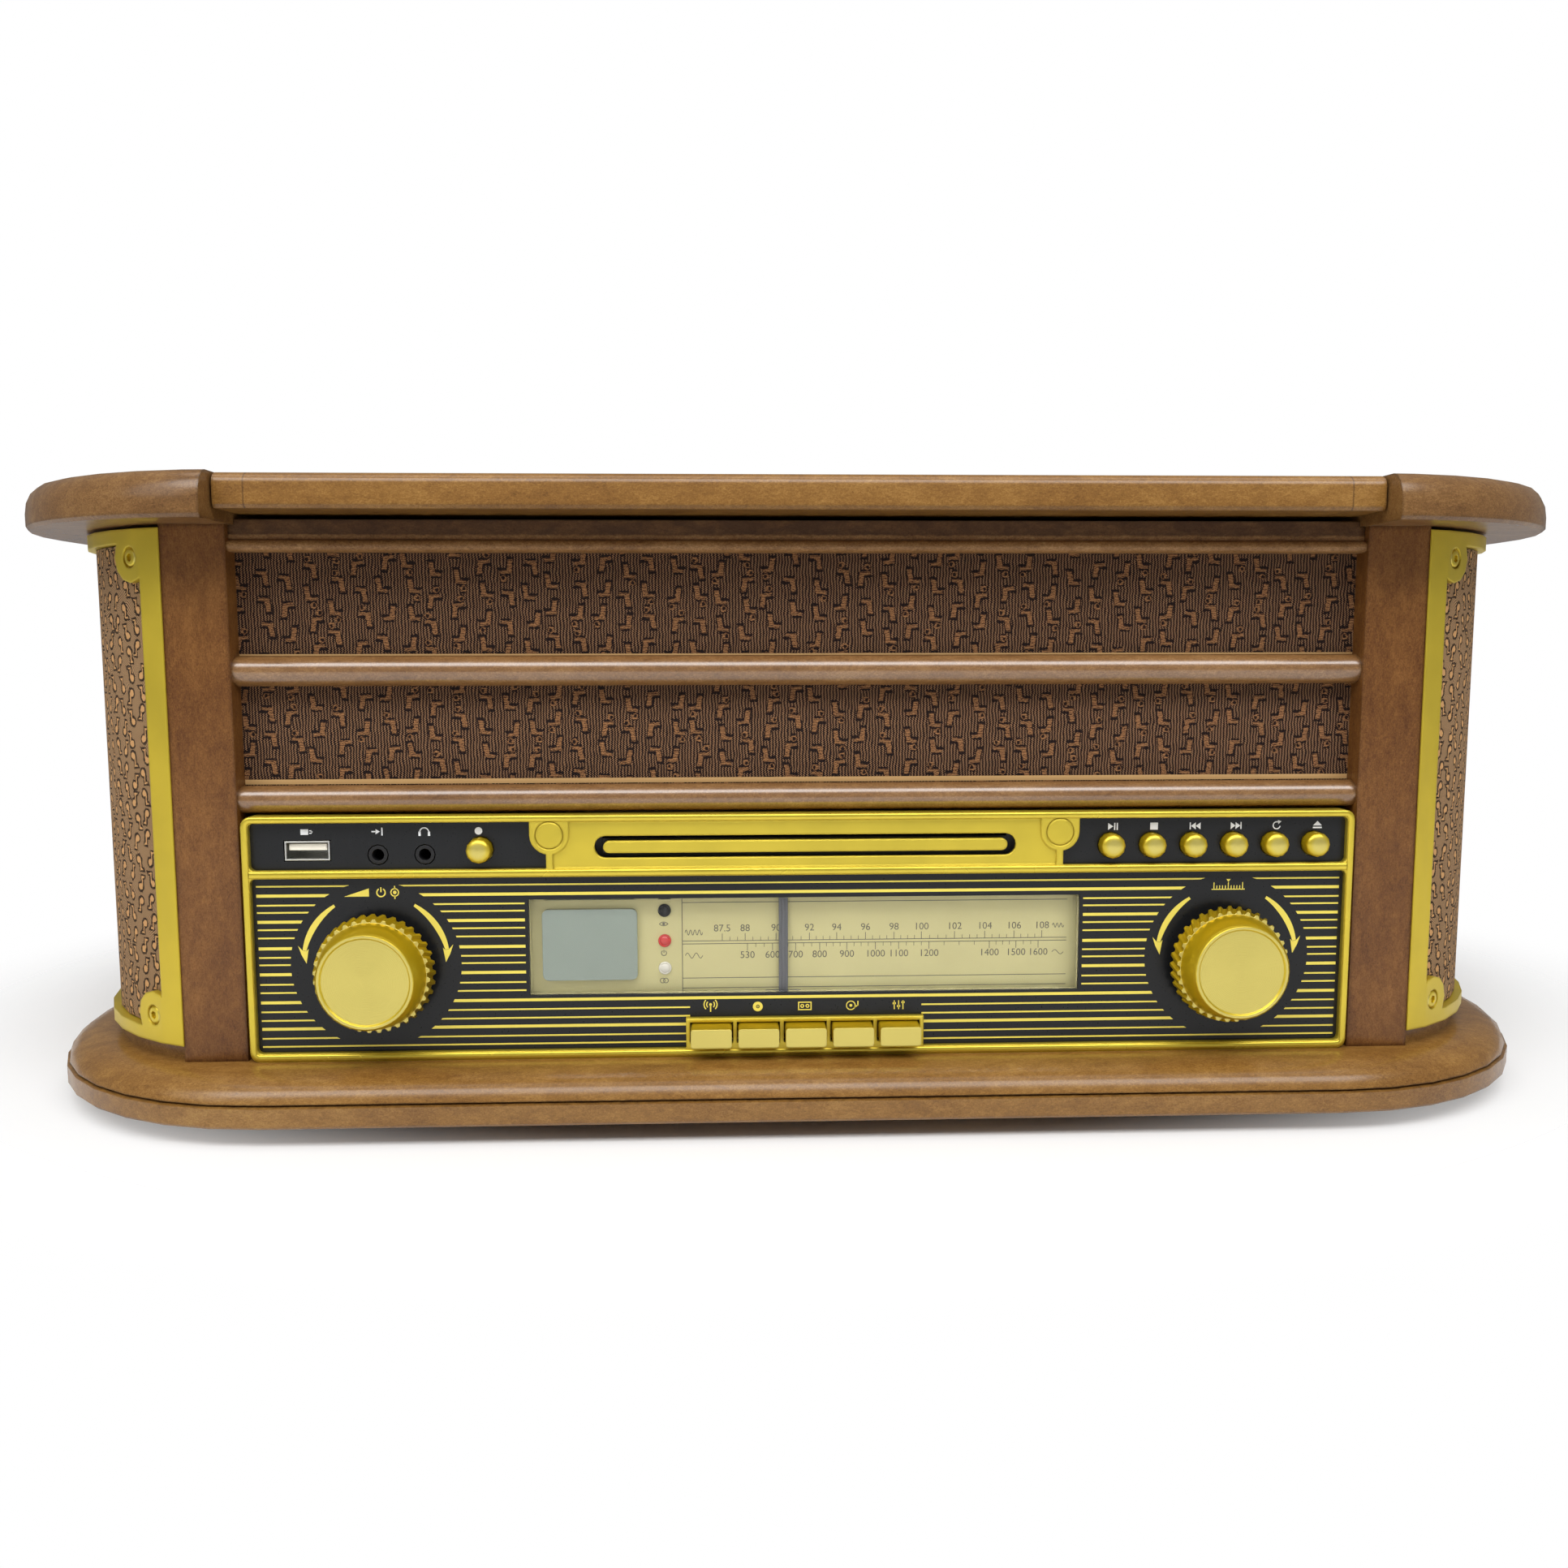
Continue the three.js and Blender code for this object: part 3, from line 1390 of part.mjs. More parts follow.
// Disc mechanism: a channel that the tray runs in, on four legs
function discMechanism() {
  const runWidth = trayWidth + 2 * mechanismRunGap;
  const outerWidth = runWidth + 2 * mechanismWall;
  const low = slotZ - trayHeight / 2 - mechanismRunGap - mechanismWall;
  const lengthSpan = [panelFront + mechanismSetback, panelFront + mechanismSetback + mechanismLength];
  const floor = block(span(0, outerWidth), lengthSpan, [low, low + mechanismWall]);
  const upright = [low, low + mechanismHeight];
  const wallX = (runWidth + mechanismWall) / 2;
  const walls = [-1, 1].map((side) => block(span(side * wallX, mechanismWall), lengthSpan, upright));
  const roof = [low + mechanismHeight - mechanismWall, low + mechanismHeight];
  const bridge = block(
    span(0, outerWidth),
    [lengthSpan[1] - mechanismBridgeLength, lengthSpan[1]],
    roof,
  );
  const legs = [-1, 1].flatMap((side) =>
    [0, 1].map((end) => {
      const x = side * (outerWidth - mechanismLegWidth) / 2;
      const first = lengthSpan[0] + 2 * mechanismLegDepth;
      const y = end ? lengthSpan[1] - mechanismLegDepth / 2 : first;
      return block(span(x, mechanismLegWidth), span(y, mechanismLegDepth), [plinthTop, low + overrun]);
    }),
  );
  return join(floor, walls, bridge, legs);
}

// Right-hand loudspeaker, on the outer face of its side board
function speaker() {
  const profile = [
    [0, -speakerBasketDepth - speakerMagnetDepth],
    [speakerMagnetRadius, -speakerBasketDepth - speakerMagnetDepth],
    [speakerMagnetRadius, -speakerBasketDepth],
    [speakerBasketBackRadius, -speakerBasketDepth],
    [speakerBasketRadius, 0],
    [speakerFlangeRadius, 0],
    [speakerFlangeRadius, speakerFlangeThickness],
    [speakerBasketRadius, speakerFlangeThickness],
    [speakerCapRadius, speakerFlangeThickness - speakerConeDepth],
    [speakerCapRadius / 2, speakerFlangeThickness - (2 * speakerConeDepth) / 3],
    [0, speakerFlangeThickness - speakerConeDepth / 2],
  ];
  return turned(profile, [boardOuter, 0, plinthTop + speakerHeight], "right", speakerSegments);
}

// Main board on standoffs, with the transformer, a finned heat sink and three capacitors
function mainBoard() {
  const low = plinthTop + standoffHeight;
  const top = low + mainBoardThickness;
  const deep = span(mainBoardY, mainBoardDepth);
  const sheet = block(span(0, mainBoardWidth), deep, [low, top]);
  const standoffs = [-1, 1].flatMap((sx) =>
    [-1, 1].map((sy) => {
      const x = sx * (mainBoardWidth / 2 - standoffInset);
      const y = mainBoardY + sy * (mainBoardDepth / 2 - standoffInset);
      return disc(standoffRadius, [0, standoffHeight + overrun], [x, y, plinthTop], "up", pinSegments);
    }),
  );
  const coreX = mainBoardWidth / 2 - transformerWidth / 2;
  const core = join(
    block(
      span(coreX, transformerWidth),
      span(mainBoardY, transformerDepth / 2),
      [top - overrun, top + transformerHeight],
    ),
    block(
      span(coreX, (2 * transformerWidth) / 3),
      span(mainBoardY, transformerDepth),
      [top - overrun, top + (transformerHeight * 5) / 6],
    ),
  );
  const sinkX = -mainBoardWidth / 2 + heatSinkWidth / 2 + standoffInset;
  const sinkY = mainBoardY + mainBoardDepth / 2 - heatSinkDepth;
  const spine = block(
    span(sinkX, heatSinkWidth),
    span(sinkY, heatSinkFinThickness),
    [top - overrun, top + heatSinkHeight],
  );
  const fins = Array.from({ length: heatSinkFins }, (_, i) => {
    const share = i / (heatSinkFins - 1) - 1 / 2;
    const x = sinkX + share * (heatSinkWidth - heatSinkFinThickness);
    const finSpan = [sinkY - heatSinkDepth, sinkY];
    return block(span(x, heatSinkFinThickness), finSpan, [top, top + heatSinkHeight]);
  });
  const capacitors = [-1, 0, 1].map((i) =>
    disc(
      capacitorRadius,
      [-overrun, capacitorHeight],
      [sinkX + i * capacitorPitch, mainBoardY - mainBoardDepth / 4, top],
      "up",
      pinSegments,
    ),
  );
  return join(sheet, standoffs, core, spine, fins, capacitors);
}

// Tape deck: a bezel on the right-hand grille and the cassette's housing behind it
const tapeZ = plinthTop + tapeLift;
const bezelBack = cornerX + grilleRadius;
const flapTop = tapeZ + tapeSlotHeight / 2;

function tapeDeck() {
  const outer = block(
    [bezelBack, bezelBack + tapeBezelThickness],
    span(0, tapeBezelLength),
    span(tapeZ, tapeBezelHeight),
  );
  const neck = block(
    [bezelBack - grilleThickness - overrun, bezelBack],
    span(0, tapeBezelRoom.length - 2 * clearance),
    span(tapeZ, tapeBezelRoom.height - 2 * clearance),
  );
  const housing = block(
    [bezelBack - tapeDepth, bezelBack],
    span(tapeSlotShift, tapeSlotLength + 2 * tapeWall),
    span(tapeZ, tapeSlotHeight + 2 * tapeWall),
  );
  const mouth = block(
    [bezelBack - tapeDepth + tapeWall, bezelBack + tapeBezelThickness + overrun],
    span(tapeSlotShift, tapeSlotLength),
    span(tapeZ, tapeSlotHeight),
  );
  const keyHole = block(
    [bezelBack - grilleThickness - 2 * overrun, bezelBack + tapeBezelThickness + overrun],
    span(tapeKeyY, tapeKeyLength + 2 * clearance),
    span(tapeZ, tapeKeyHeight + 2 * clearance),
  );
  const pinRow = disc(
    tapeFlapPinRadius + clearance,
    [-tapeSlotLength / 2 - tapeWall / 2, tapeSlotLength / 2 + tapeWall / 2],
    [bezelBack - tapeWall, tapeSlotShift, flapTop - tapeFlapGap - tapeFlapPinRadius],
    "front",
    smallSegments,
  );
  return cut(join(outer, neck, housing), mouth, keyHole, pinRow);
}

function tapeFlap() {
  const pinZ = flapTop - tapeFlapGap - tapeFlapPinRadius;
  const x = bezelBack - tapeWall;
  const pin = disc(
    tapeFlapPinRadius,
    span(0, tapeSlotLength + tapeWall - 2 * clearance),
    [x, tapeSlotShift, pinZ],
    "front",
    smallSegments,
  );
  const sheet = block(
    span(x, tapeFlapThickness),
    span(tapeSlotShift, tapeSlotLength - 2 * tapeFlapGap),
    [tapeZ - tapeSlotHeight / 2 + tapeFlapGap, pinZ],
  );
  return join(pin, sheet);
}

function tapeKey() {
  const face = bezelBack + tapeBezelThickness;
  return block(
    [face - tapeKeyDepth, face + tapeKeyReach],
    span(tapeKeyY, tapeKeyLength),
    span(tapeZ, tapeKeyHeight),
  );
}

// The cabinet
const footX = overallWidth / 2 - cornerRadius;
const footY = overallDepth / 2 - plinthSetback - footInset - footRadius;
part("base_plinth", plinth(), "wood");
for (const [name, sx, sy] of [
  ["foot_front_left", -1, -1],
  ["foot_front_right", 1, -1],
  ["foot_rear_left", -1, 1],
  ["foot_rear_right", 1, 1],
]) {
  part(name, foot(), "rubber", [sx * footX, sy * footY, 0]);
}
part("side_board_left", sideBoard(false), "wood", [0, 0, 0], true);
part("side_board_right", sideBoard(true), "wood");
part("rail_lower", rail(lowerRailLift, lowerRailHeight, boardFront + railSetback), "wood");
part("rail_middle", rail(middleRailLift, middleRailHeight, boardFront + railSetback), "wood");
part("rail_top", topRail(), "wood");
part("front_grille_board", grilleBoard(), "grilleCloth");
part("side_grille_left", sideGrille(false), "sideCloth", [0, 0, 0], true);
part("side_grille_right", sideGrille(true), "sideCloth");
part("side_trim_left", sideTrim(), "gold", [0, 0, 0], true);
part("side_trim_right", sideTrim(), "gold");
part("top_cap_left", topCap(), "wood", [0, 0, 0], true);
part("top_cap_right", topCap(), "wood");
part("back_panel", backPanel(), "hardboard");

// The lid
part("lid", lid(), "wood");
part("hinge_lid_leaf", hingeLidLeaf(), "steel");
part("hinge_cabinet_leaf", hingeCabinetLeaf(), "steel");
part("lid_stay", lidStay(), "steel");

// The turntable
part("deck_tray", deckTray(), "blackPlastic");
part("platter", platter(), "aluminium");
part("platter_mat", platterMat(), "rubber");
part("turntable_motor", turntableMotor(), "steel");
part("tonearm_yoke", tonearmYoke(), "greyPlastic");
part("tonearm", tonearm(), "greyPlastic");
part("cue_lever", cueLever(), "greyPlastic");
part("speed_switch", speedSwitch(), "greyPlastic");

// The front
part("front_panel", frontPanel(), "gold");
part("facia_panel", faciaPanel(), "facia");
part("dial_window", dialWindow(), "clear");
part("dial_plate", dialPlate(), "dial");
part("display_module", displayModule(), "display");
part("dial_pointer", dialPointer(), "pointer");
part("volume_knob", knob(), "gold", [-knobX, panelFront, knobZ]);
part("tuning_knob", knob(), "gold", [knobX, panelFront, knobZ]);
keyXs.forEach((x, i) => {
  part(`function_key_${i + 1}`, functionKey(), "gold", [x, panelFront, keyZ]);
});
part("record_button", pushButton(), "gold", [recordButtonX, panelFront, buttonZ]);
transportXs.forEach((x, i) => {
  part(`transport_button_${i + 1}`, pushButton(), "gold", [x, panelFront, buttonZ]);
});
part("socket_board", socketBoard(), "circuit");
part("disc_tray", discTray(), "blackPlastic");
part("disc_tray_door", discTrayDoor(), "gold");
part("disc_mechanism", discMechanism(), "greyPlastic");

// The inside and the right-hand side
part("speaker_left", speaker(), "paperCone", [0, 0, 0], true);
part("speaker_right", speaker(), "paperCone");
part("main_board", mainBoard(), "circuit");
part("tape_deck", tapeDeck(), "blackPlastic");
part("tape_flap", tapeFlap(), "blackPlastic");
part("tape_key", tapeKey(), "blackPlastic");

export default model;
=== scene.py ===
"""Looks of a table-top music centre: wood, woven cloth, gold mouldings and a printed dial."""

import math

import bpy
from mathutils import Matrix, Vector


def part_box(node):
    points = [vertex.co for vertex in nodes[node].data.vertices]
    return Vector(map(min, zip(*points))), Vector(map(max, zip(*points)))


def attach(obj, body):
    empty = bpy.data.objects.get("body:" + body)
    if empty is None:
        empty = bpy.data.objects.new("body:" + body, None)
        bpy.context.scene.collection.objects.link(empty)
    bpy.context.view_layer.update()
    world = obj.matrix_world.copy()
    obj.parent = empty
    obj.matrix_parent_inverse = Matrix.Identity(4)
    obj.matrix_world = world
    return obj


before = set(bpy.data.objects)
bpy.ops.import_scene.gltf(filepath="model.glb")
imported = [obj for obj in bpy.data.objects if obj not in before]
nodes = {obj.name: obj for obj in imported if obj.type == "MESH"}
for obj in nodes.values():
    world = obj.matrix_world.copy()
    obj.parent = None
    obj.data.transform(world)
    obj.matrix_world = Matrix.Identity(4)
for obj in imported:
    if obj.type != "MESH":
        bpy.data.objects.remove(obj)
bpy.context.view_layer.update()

MM = 0.001
PER_METRE = 1000
TURN = 2 * math.pi

# Camera, fitted to the photograph: place in metres, lens and sensor in millimetres
CAMERA_PLACE = Vector((-0.0221, -0.5573, 0.1464))
CAMERA_DOWN = math.radians(6.105)
CAMERA_RIGHT = math.radians(2.225)
CAMERA_ROLL = math.radians(-0.092)
CAMERA_LENS = 30.12
CAMERA_SENSOR = 36
CAMERA_NEAR = 0.01


def make_camera():
    forward = Vector(
        (
            math.sin(CAMERA_RIGHT) * math.cos(CAMERA_DOWN),
            math.cos(CAMERA_RIGHT) * math.cos(CAMERA_DOWN),
            -math.sin(CAMERA_DOWN),
        )
    )
    level = Vector((math.cos(CAMERA_RIGHT), -math.sin(CAMERA_RIGHT), 0))
    upright = level.cross(forward)
    right = level * math.cos(CAMERA_ROLL) + upright * math.sin(CAMERA_ROLL)
    up = upright * math.cos(CAMERA_ROLL) - level * math.sin(CAMERA_ROLL)
    data = bpy.data.cameras.new("camera")
    data.lens = CAMERA_LENS
    data.sensor_width = CAMERA_SENSOR
    data.clip_start = CAMERA_NEAR
    camera = bpy.data.objects.new("camera", data)
    bpy.context.scene.collection.objects.link(camera)
    turn = Matrix((right, up, -forward)).transposed()
    camera.matrix_world = Matrix.Translation(CAMERA_PLACE) @ turn.to_4x4()
    bpy.context.scene.camera = camera


# Colours


def linear(value):
    """One channel from screen values of 0 to 255 to linear light."""
    value /= 255
    return value / 12.92 if value <= 0.04045 else ((value + 0.055) / 1.055) ** 2.4


def colour(red, green, blue):
    return (linear(red), linear(green), linear(blue), 1)


def lighter(base, factor, lift=0):
    return tuple(min(1, value * factor + lift) for value in base[:3]) + (1,)


WOOD_DARK = colour(94, 61, 25)
WOOD_MID = colour(131, 92, 41)
WOOD_PALE = colour(162, 123, 64)
# Dark brown for the butt joints, for the line along the plinth's groove and for the painted shade
# on the top rail under the lid
DARK_LINE_AND_SHADE = colour(48, 27, 17)
GOLD = colour(206, 184, 62)
# Paler gold for the painted sheen of front faces, and deeper gold for the painted shade of faces
# turned from the front
GOLD_PAINTED_SHEEN = colour(210, 194, 104)
GOLD_PAINTED_SHADE = colour(204, 172, 24)


# Shader expressions

# Sockets of a mix node that carry colours
MIX_FIRST, MIX_SECOND, MIX_RESULT = 6, 7, 2
BEVEL_SAMPLES = 4


def feed(tree, slot, value):
    """Gives an input a worked-out number, another node's output or a constant."""
    if isinstance(value, Val):
        tree.links.new(value.socket, slot)
    elif isinstance(value, bpy.types.NodeSocket):
        tree.links.new(value, slot)
    else:
        slot.default_value = value


class Val:
    """A number at each point of a surface, worked out by shader nodes."""

    def __init__(self, tree, socket):
        self.tree = tree
        self.socket = socket

    def op(self, operation, *others):
        node = self.tree.nodes.new("ShaderNodeMath")
        node.operation = operation
        for slot, value in zip(node.inputs, (self, *others)):
            feed(self.tree, slot, value)
        return Val(self.tree, node.outputs[0])

    def __add__(self, other):
        return self.op("ADD", other)

    def __sub__(self, other):
        return self.op("SUBTRACT", other)

    def __mul__(self, other):
        return self.op("MULTIPLY", other)

    def __truediv__(self, other):
        return self.op("DIVIDE", other)

    def abs(self):
        return self.op("ABSOLUTE")

    def floor(self):
        return self.op("FLOOR")

    def fract(self):
        return self.op("FRACT")

    def sin(self):
        return self.op("SINE")

    def root(self):
        return self.op("SQRT")

    def below(self, other):
        return self.op("LESS_THAN", other)

    def least(self, other):
        return self.op("MINIMUM", other)

    def most(self, other):
        return self.op("MAXIMUM", other)

    def wave(self, pitch):
        """A sine that repeats once every pitch."""
        return (self * (TURN / pitch)).sin()

    def zigzag(self, width):
        """Runs up to a width and down to 0 again."""
        return self.op("PINGPONG", width)

    def smooth(self, low, high):
        """Rises from 0 to 1 between two values."""
        node = self.tree.nodes.new("ShaderNodeMapRange")
        node.interpolation_type = "SMOOTHSTEP"
        feed(self.tree, node.inputs["Value"], self)
        node.inputs["From Min"].default_value = low
        node.inputs["From Max"].default_value = high
        return Val(self.tree, node.outputs["Result"])


def hypotenuse(a, b):
    return (a * a + b * b).root()


def line_mask(offset, half, edge):
    """1 within half a width of a line and 0 beyond it, with a soft edge."""
    return (offset.abs() * -1 + half).smooth(*edge)


def box_mask(u, v, centre_u, centre_v, half_u, half_v):
    return (u - centre_u).abs().below(half_u) * (v - centre_v).abs().below(half_v)


def disc_mask(u, v, centre_u, centre_v, radius):
    away_u = u - centre_u
    away_v = v - centre_v
    return (away_u * away_u + away_v * away_v).below(radius * radius)


class Look:
    """A material and the expressions that feed its one shader."""

    def __init__(self, name):
        self.material = bpy.data.materials.new(name)
        self.material.use_nodes = True
        self.tree = self.material.node_tree
        self.shader = next(n for n in self.tree.nodes if n.type == "BSDF_PRINCIPLED")

    def coordinates(self, kind):
        texture = self.tree.nodes.new("ShaderNodeTexCoord")
        split = self.tree.nodes.new("ShaderNodeSeparateXYZ")
        feed(self.tree, split.inputs[0], texture.outputs[kind])
        return [Val(self.tree, out) for out in split.outputs]

    def place(self):
        """The place on the piece at rest, in millimetres, as three numbers."""
        return [value * PER_METRE for value in self.coordinates("Object")]

    def facing(self, axis):
        """How far the surface of the piece at rest faces along one axis, from -1 to 1."""
        return self.coordinates("Normal")[axis]

    def path(self, kind):
        node = self.tree.nodes.new("ShaderNodeLightPath")
        return Val(self.tree, node.outputs[kind])

    def vector(self, x, y, z):
        node = self.tree.nodes.new("ShaderNodeCombineXYZ")
        for slot, value in zip(node.inputs, (x, y, z)):
            feed(self.tree, slot, value)
        return node.outputs[0]

    def noise(self, x, y, z, detail=2, roughness=0.5, distortion=0):
        node = self.tree.nodes.new("ShaderNodeTexNoise")
        feed(self.tree, node.inputs["Vector"], self.vector(x, y, z))
        node.inputs["Scale"].default_value = 1
        node.inputs["Detail"].default_value = detail
        node.inputs["Roughness"].default_value = roughness
        node.inputs["Distortion"].default_value = distortion
        return Val(self.tree, node.outputs["Fac"])

    def grain(self, place, scale, **options):
        """Noise over a place, with a number of features to the millimetre."""
        return self.noise(*[value * scale for value in place], **options)

    def chance(self, x, y, seed=0):
        """Random numbers from 0 to 1, the same within one cell."""
        node = self.tree.nodes.new("ShaderNodeTexWhiteNoise")
        feed(self.tree, node.inputs["Vector"], self.vector(x, y, seed))
        return Val(self.tree, node.outputs["Value"])

    def ramp(self, value, *stops):
        node = self.tree.nodes.new("ShaderNodeValToRGB")
        feed(self.tree, node.inputs[0], value)
        elements = node.color_ramp.elements
        while len(elements) < len(stops):
            elements.new(1)
        for element, (at, shade) in zip(elements, stops):
            element.position = at
            element.color = shade
        return node.outputs[0]

    def mix(self, share, first, second):
        node = self.tree.nodes.new("ShaderNodeMix")
        node.data_type = "RGBA"
        feed(self.tree, node.inputs["Factor"], share)
        feed(self.tree, node.inputs[MIX_FIRST], first)
        feed(self.tree, node.inputs[MIX_SECOND], second)
        return node.outputs[MIX_RESULT]

    def relief(self, height, depth):
        """A bump of a real depth in millimetres, from heights between 0 and 1."""
        node = self.tree.nodes.new("ShaderNodeBump")
        node.inputs["Distance"].default_value = depth * MM
        feed(self.tree, node.inputs["Height"], height)
        return node.outputs[0]

    def rounded(self, radius, relief):
        """Softens sharp edges, under a bump."""
        node = self.tree.nodes.new("ShaderNodeBevel")
        node.samples = BEVEL_SAMPLES
        node.inputs["Radius"].default_value = radius * MM
        feed(self.tree, node.inputs["Normal"], relief)
        return node.outputs[0]

    def spun(self, axis):
        """The direction of a turned finish, about an axis through the middle of the piece."""
        node = self.tree.nodes.new("ShaderNodeTangent")
        node.direction_type = "RADIAL"
        node.axis = axis
        return node.outputs[0]

    def finish(self, **sockets):
        for name, value in sockets.items():
            slot = self.shader.inputs[name.replace("_", " ").title().replace("Ior", "IOR")]
            feed(self.tree, slot, value)
        return self.material


# Lacquered wood: how many features fall on a millimetre, and each one's share of the tone
CLOUD_SCALE, CLOUD_SHARE = 0.02, 0.24
BLOTCH_SCALE, BLOTCH_SHARE = 0.13, 0.22
FIBRE_SCALE, FIBRE_SHARE = 0.8, 0.34
SPECK_SCALE, SPECK_SHARE = 2.2, 0.2
CROSS_GRAIN = 2.2
TONE_DARK, TONE_MID, TONE_PALE = 0.34, 0.5, 0.66
PORE_EDGE, PORE_DEPTH = (0.62, 0.76), 0.35
GRAIN_RELIEF = 0.022

# A dark band at a height, which is painted shade under the lid on the top rail and a dark line
# along the plinth's groove, and a butt joint: how far they wander, how soft their edges are and how
# strong they get
DARK_BAND_SCALE, DARK_BAND_WANDER, DARK_BAND_EDGE, DARK_BAND_MOST = 0.35, 1.1, (-0.35, 0.45), 0.85
JOINT_HALF, JOINT_WANDER, JOINT_EDGE, JOINT_DEPTH = 0.22, 0.6, (-0.12, 0.12), 0.55


def wood(
    name,
    along,
    dark=WOOD_DARK,
    mid=WOOD_MID,
    pale=WOOD_PALE,
    edge=0.8,
    dark_band=None,
    joints=(),
    gloss=0.7,
    index=1.5,
):
    """Lacquered wood: cloudy stain and short curled fibres, drawn out along one axis.

    The optional dark band is an uneven line at a height, as (height, half of its width); under an
    overhang it is painted shade.
    Joints are places along X where two lengths of wood butt.
    """
    look = Look(name)
    place = look.place()
    drawn_out = [value * (1 if axis == along else CROSS_GRAIN) for axis, value in enumerate(place)]
    cloud = look.grain(drawn_out, CLOUD_SCALE, detail=3)
    blotch = look.grain(drawn_out, BLOTCH_SCALE, detail=3, roughness=0.6, distortion=0.6)
    fibre = look.grain(drawn_out, FIBRE_SCALE, detail=3, roughness=0.6, distortion=1.2)
    speck = look.grain(place, SPECK_SCALE)
    tone = cloud * CLOUD_SHARE + blotch * BLOTCH_SHARE + fibre * FIBRE_SHARE + speck * SPECK_SHARE
    shade = look.ramp(tone, (TONE_DARK, dark), (TONE_MID, mid), (TONE_PALE, pale))
    shade = look.mix(speck.smooth(*PORE_EDGE) * PORE_DEPTH, shade, dark)
    # A dark band at a height: on the top rail it is painted shade under the lid's overhang
    if dark_band:
        height, half = dark_band
        wander = (look.grain(place, DARK_BAND_SCALE, detail=3) - 0.5) * DARK_BAND_WANDER
        stroke = line_mask(place[2] + wander - height, half, DARK_BAND_EDGE)
        shade = look.mix(stroke * (blotch * 0.9 + 0.3).least(DARK_BAND_MOST), shade, DARK_LINE_AND_SHADE)
    for joint in joints:
        stroke = line_mask(place[0] + (fibre - 0.5) * JOINT_WANDER - joint, JOINT_HALF, JOINT_EDGE)
        shade = look.mix(stroke * JOINT_DEPTH, shade, DARK_LINE_AND_SHADE)
    relief = look.relief(fibre * 0.6 + speck * 0.4, GRAIN_RELIEF)
    return look.finish(
        base_color=shade,
        roughness=0.55,
        specular_ior_level=0.1,
        coat_weight=gloss,
        coat_roughness=blotch * 0.12 + 0.17,
        coat_ior=index,
        normal=look.rounded(edge, relief),
    )


# Gold finishes. Haze, grain and brush lines are in features to the millimetre, the pitch and
# depths in millimetres, and a facing is 1 where a face looks straight at the front
HAZE_SCALE = 0.05
GOLD_GRAIN, GOLD_GRAIN_DEPTH = 6, 0.006
BRUSH_ALONG, BRUSH_ACROSS = 0.03, 7
RING_PITCH, RING_DEPTH = 0.5, 0.025
# Facings over which the painted shade and the painted sheen of the gold set in
SHADE_FACING, SHEEN_FACING = (0.35, 0.95), (0.9, 0.99)


def gold(name, base, roughness, brushed=None, ring_centre=None, deep=None, pale=None, edge=0.4):
    """Gold finish with a fine grain, brush lines along an axis, or turned rings on a front face.

    The centre of the rings comes as (x, z) and the depth behind which there are none.
    Faces towards the front may be painted paler, as a painted sheen, and those that turn away from
    it painted deeper, as painted shade.
    """
    look = Look(name)
    x, y, z = place = look.place()
    haze = look.grain(place, HAZE_SCALE, detail=3)
    height = grain = look.grain(place, GOLD_GRAIN, detail=1)
    depth = GOLD_GRAIN_DEPTH
    turned = {}
    if brushed is not None:
        scales = [BRUSH_ALONG if axis == brushed else BRUSH_ACROSS for axis in range(3)]
        height = look.noise(*[value * scale for value, scale in zip(place, scales)])
    if ring_centre is not None:
        centre_x, centre_z, back = ring_centre
        ring = hypotenuse(x - centre_x, z - centre_z).wave(RING_PITCH) * 0.5 + 0.5
        height = ring * y.below(back) + grain * 0.2
        depth = RING_DEPTH
        turned = {"anisotropic": 0.7, "tangent": look.spun("Y")}
    tint = look.mix(haze.smooth(0.35, 0.7), base, lighter(base, 1.12))
    # Painted light: faces turned from the front take painted shade, and faces that look straight at
    # it a painted sheen
    if deep:
        front = look.facing(1) * -1
        tint = look.mix(front.smooth(*SHADE_FACING), deep, tint)
        tint = look.mix(front.smooth(*SHEEN_FACING), tint, pale)
    return look.finish(
        base_color=tint,
        metallic=0.65,
        roughness=haze * 0.12 + roughness - 0.06,
        normal=look.rounded(edge, look.relief(height, depth)),
        **turned,
    )


def plastic(
    name,
    base,
    roughness,
    texture=0.02,
    size=1.6,
    metallic=0.0,
    edge=0.3,
    coat=0.0,
    specular=0.5,
):
    """Moulded plastic with a fine spark-eroded texture and faint unevenness of colour."""
    look = Look(name)
    place = look.place()
    fine = look.grain(place, size)
    broad = look.grain(place, 0.06)
    return look.finish(
        base_color=look.mix(broad * 0.8 + fine * 0.2, base, lighter(base, 1.18, 0.002)),
        metallic=metallic,
        specular_ior_level=specular,
        roughness=fine * 0.14 + roughness - 0.07,
        coat_weight=coat,
        coat_roughness=0.08,
        normal=look.rounded(edge, look.relief(fine, texture)),
    )


# Woven cloth with small hook and note motifs. Sizes are in millimetres, and scales in features
# to the millimetre. A box is (centre u, centre v, half of the width, half of the height)
# and a disc (centre u, centre v, radius)
CELL_ORIGIN = 60
COLUMN_SHIFT = 9
SLIDE_U, SLIDE_V = 0.34, 0.16
RAG_SCALE, RAG = 1.3, 1.1
CLOTH_RELIEF = 0.2

HOOK_CELL = (7.2, 8.2)
HOOK_LEAN, HOOK_BAR_LEAN = 0.14, 0.05
HOOK_FUZZ_SCALE, HOOK_UNEVEN_SCALE, HOOK_DEPTH_SCALE = 2.6, 0.3, 0.02
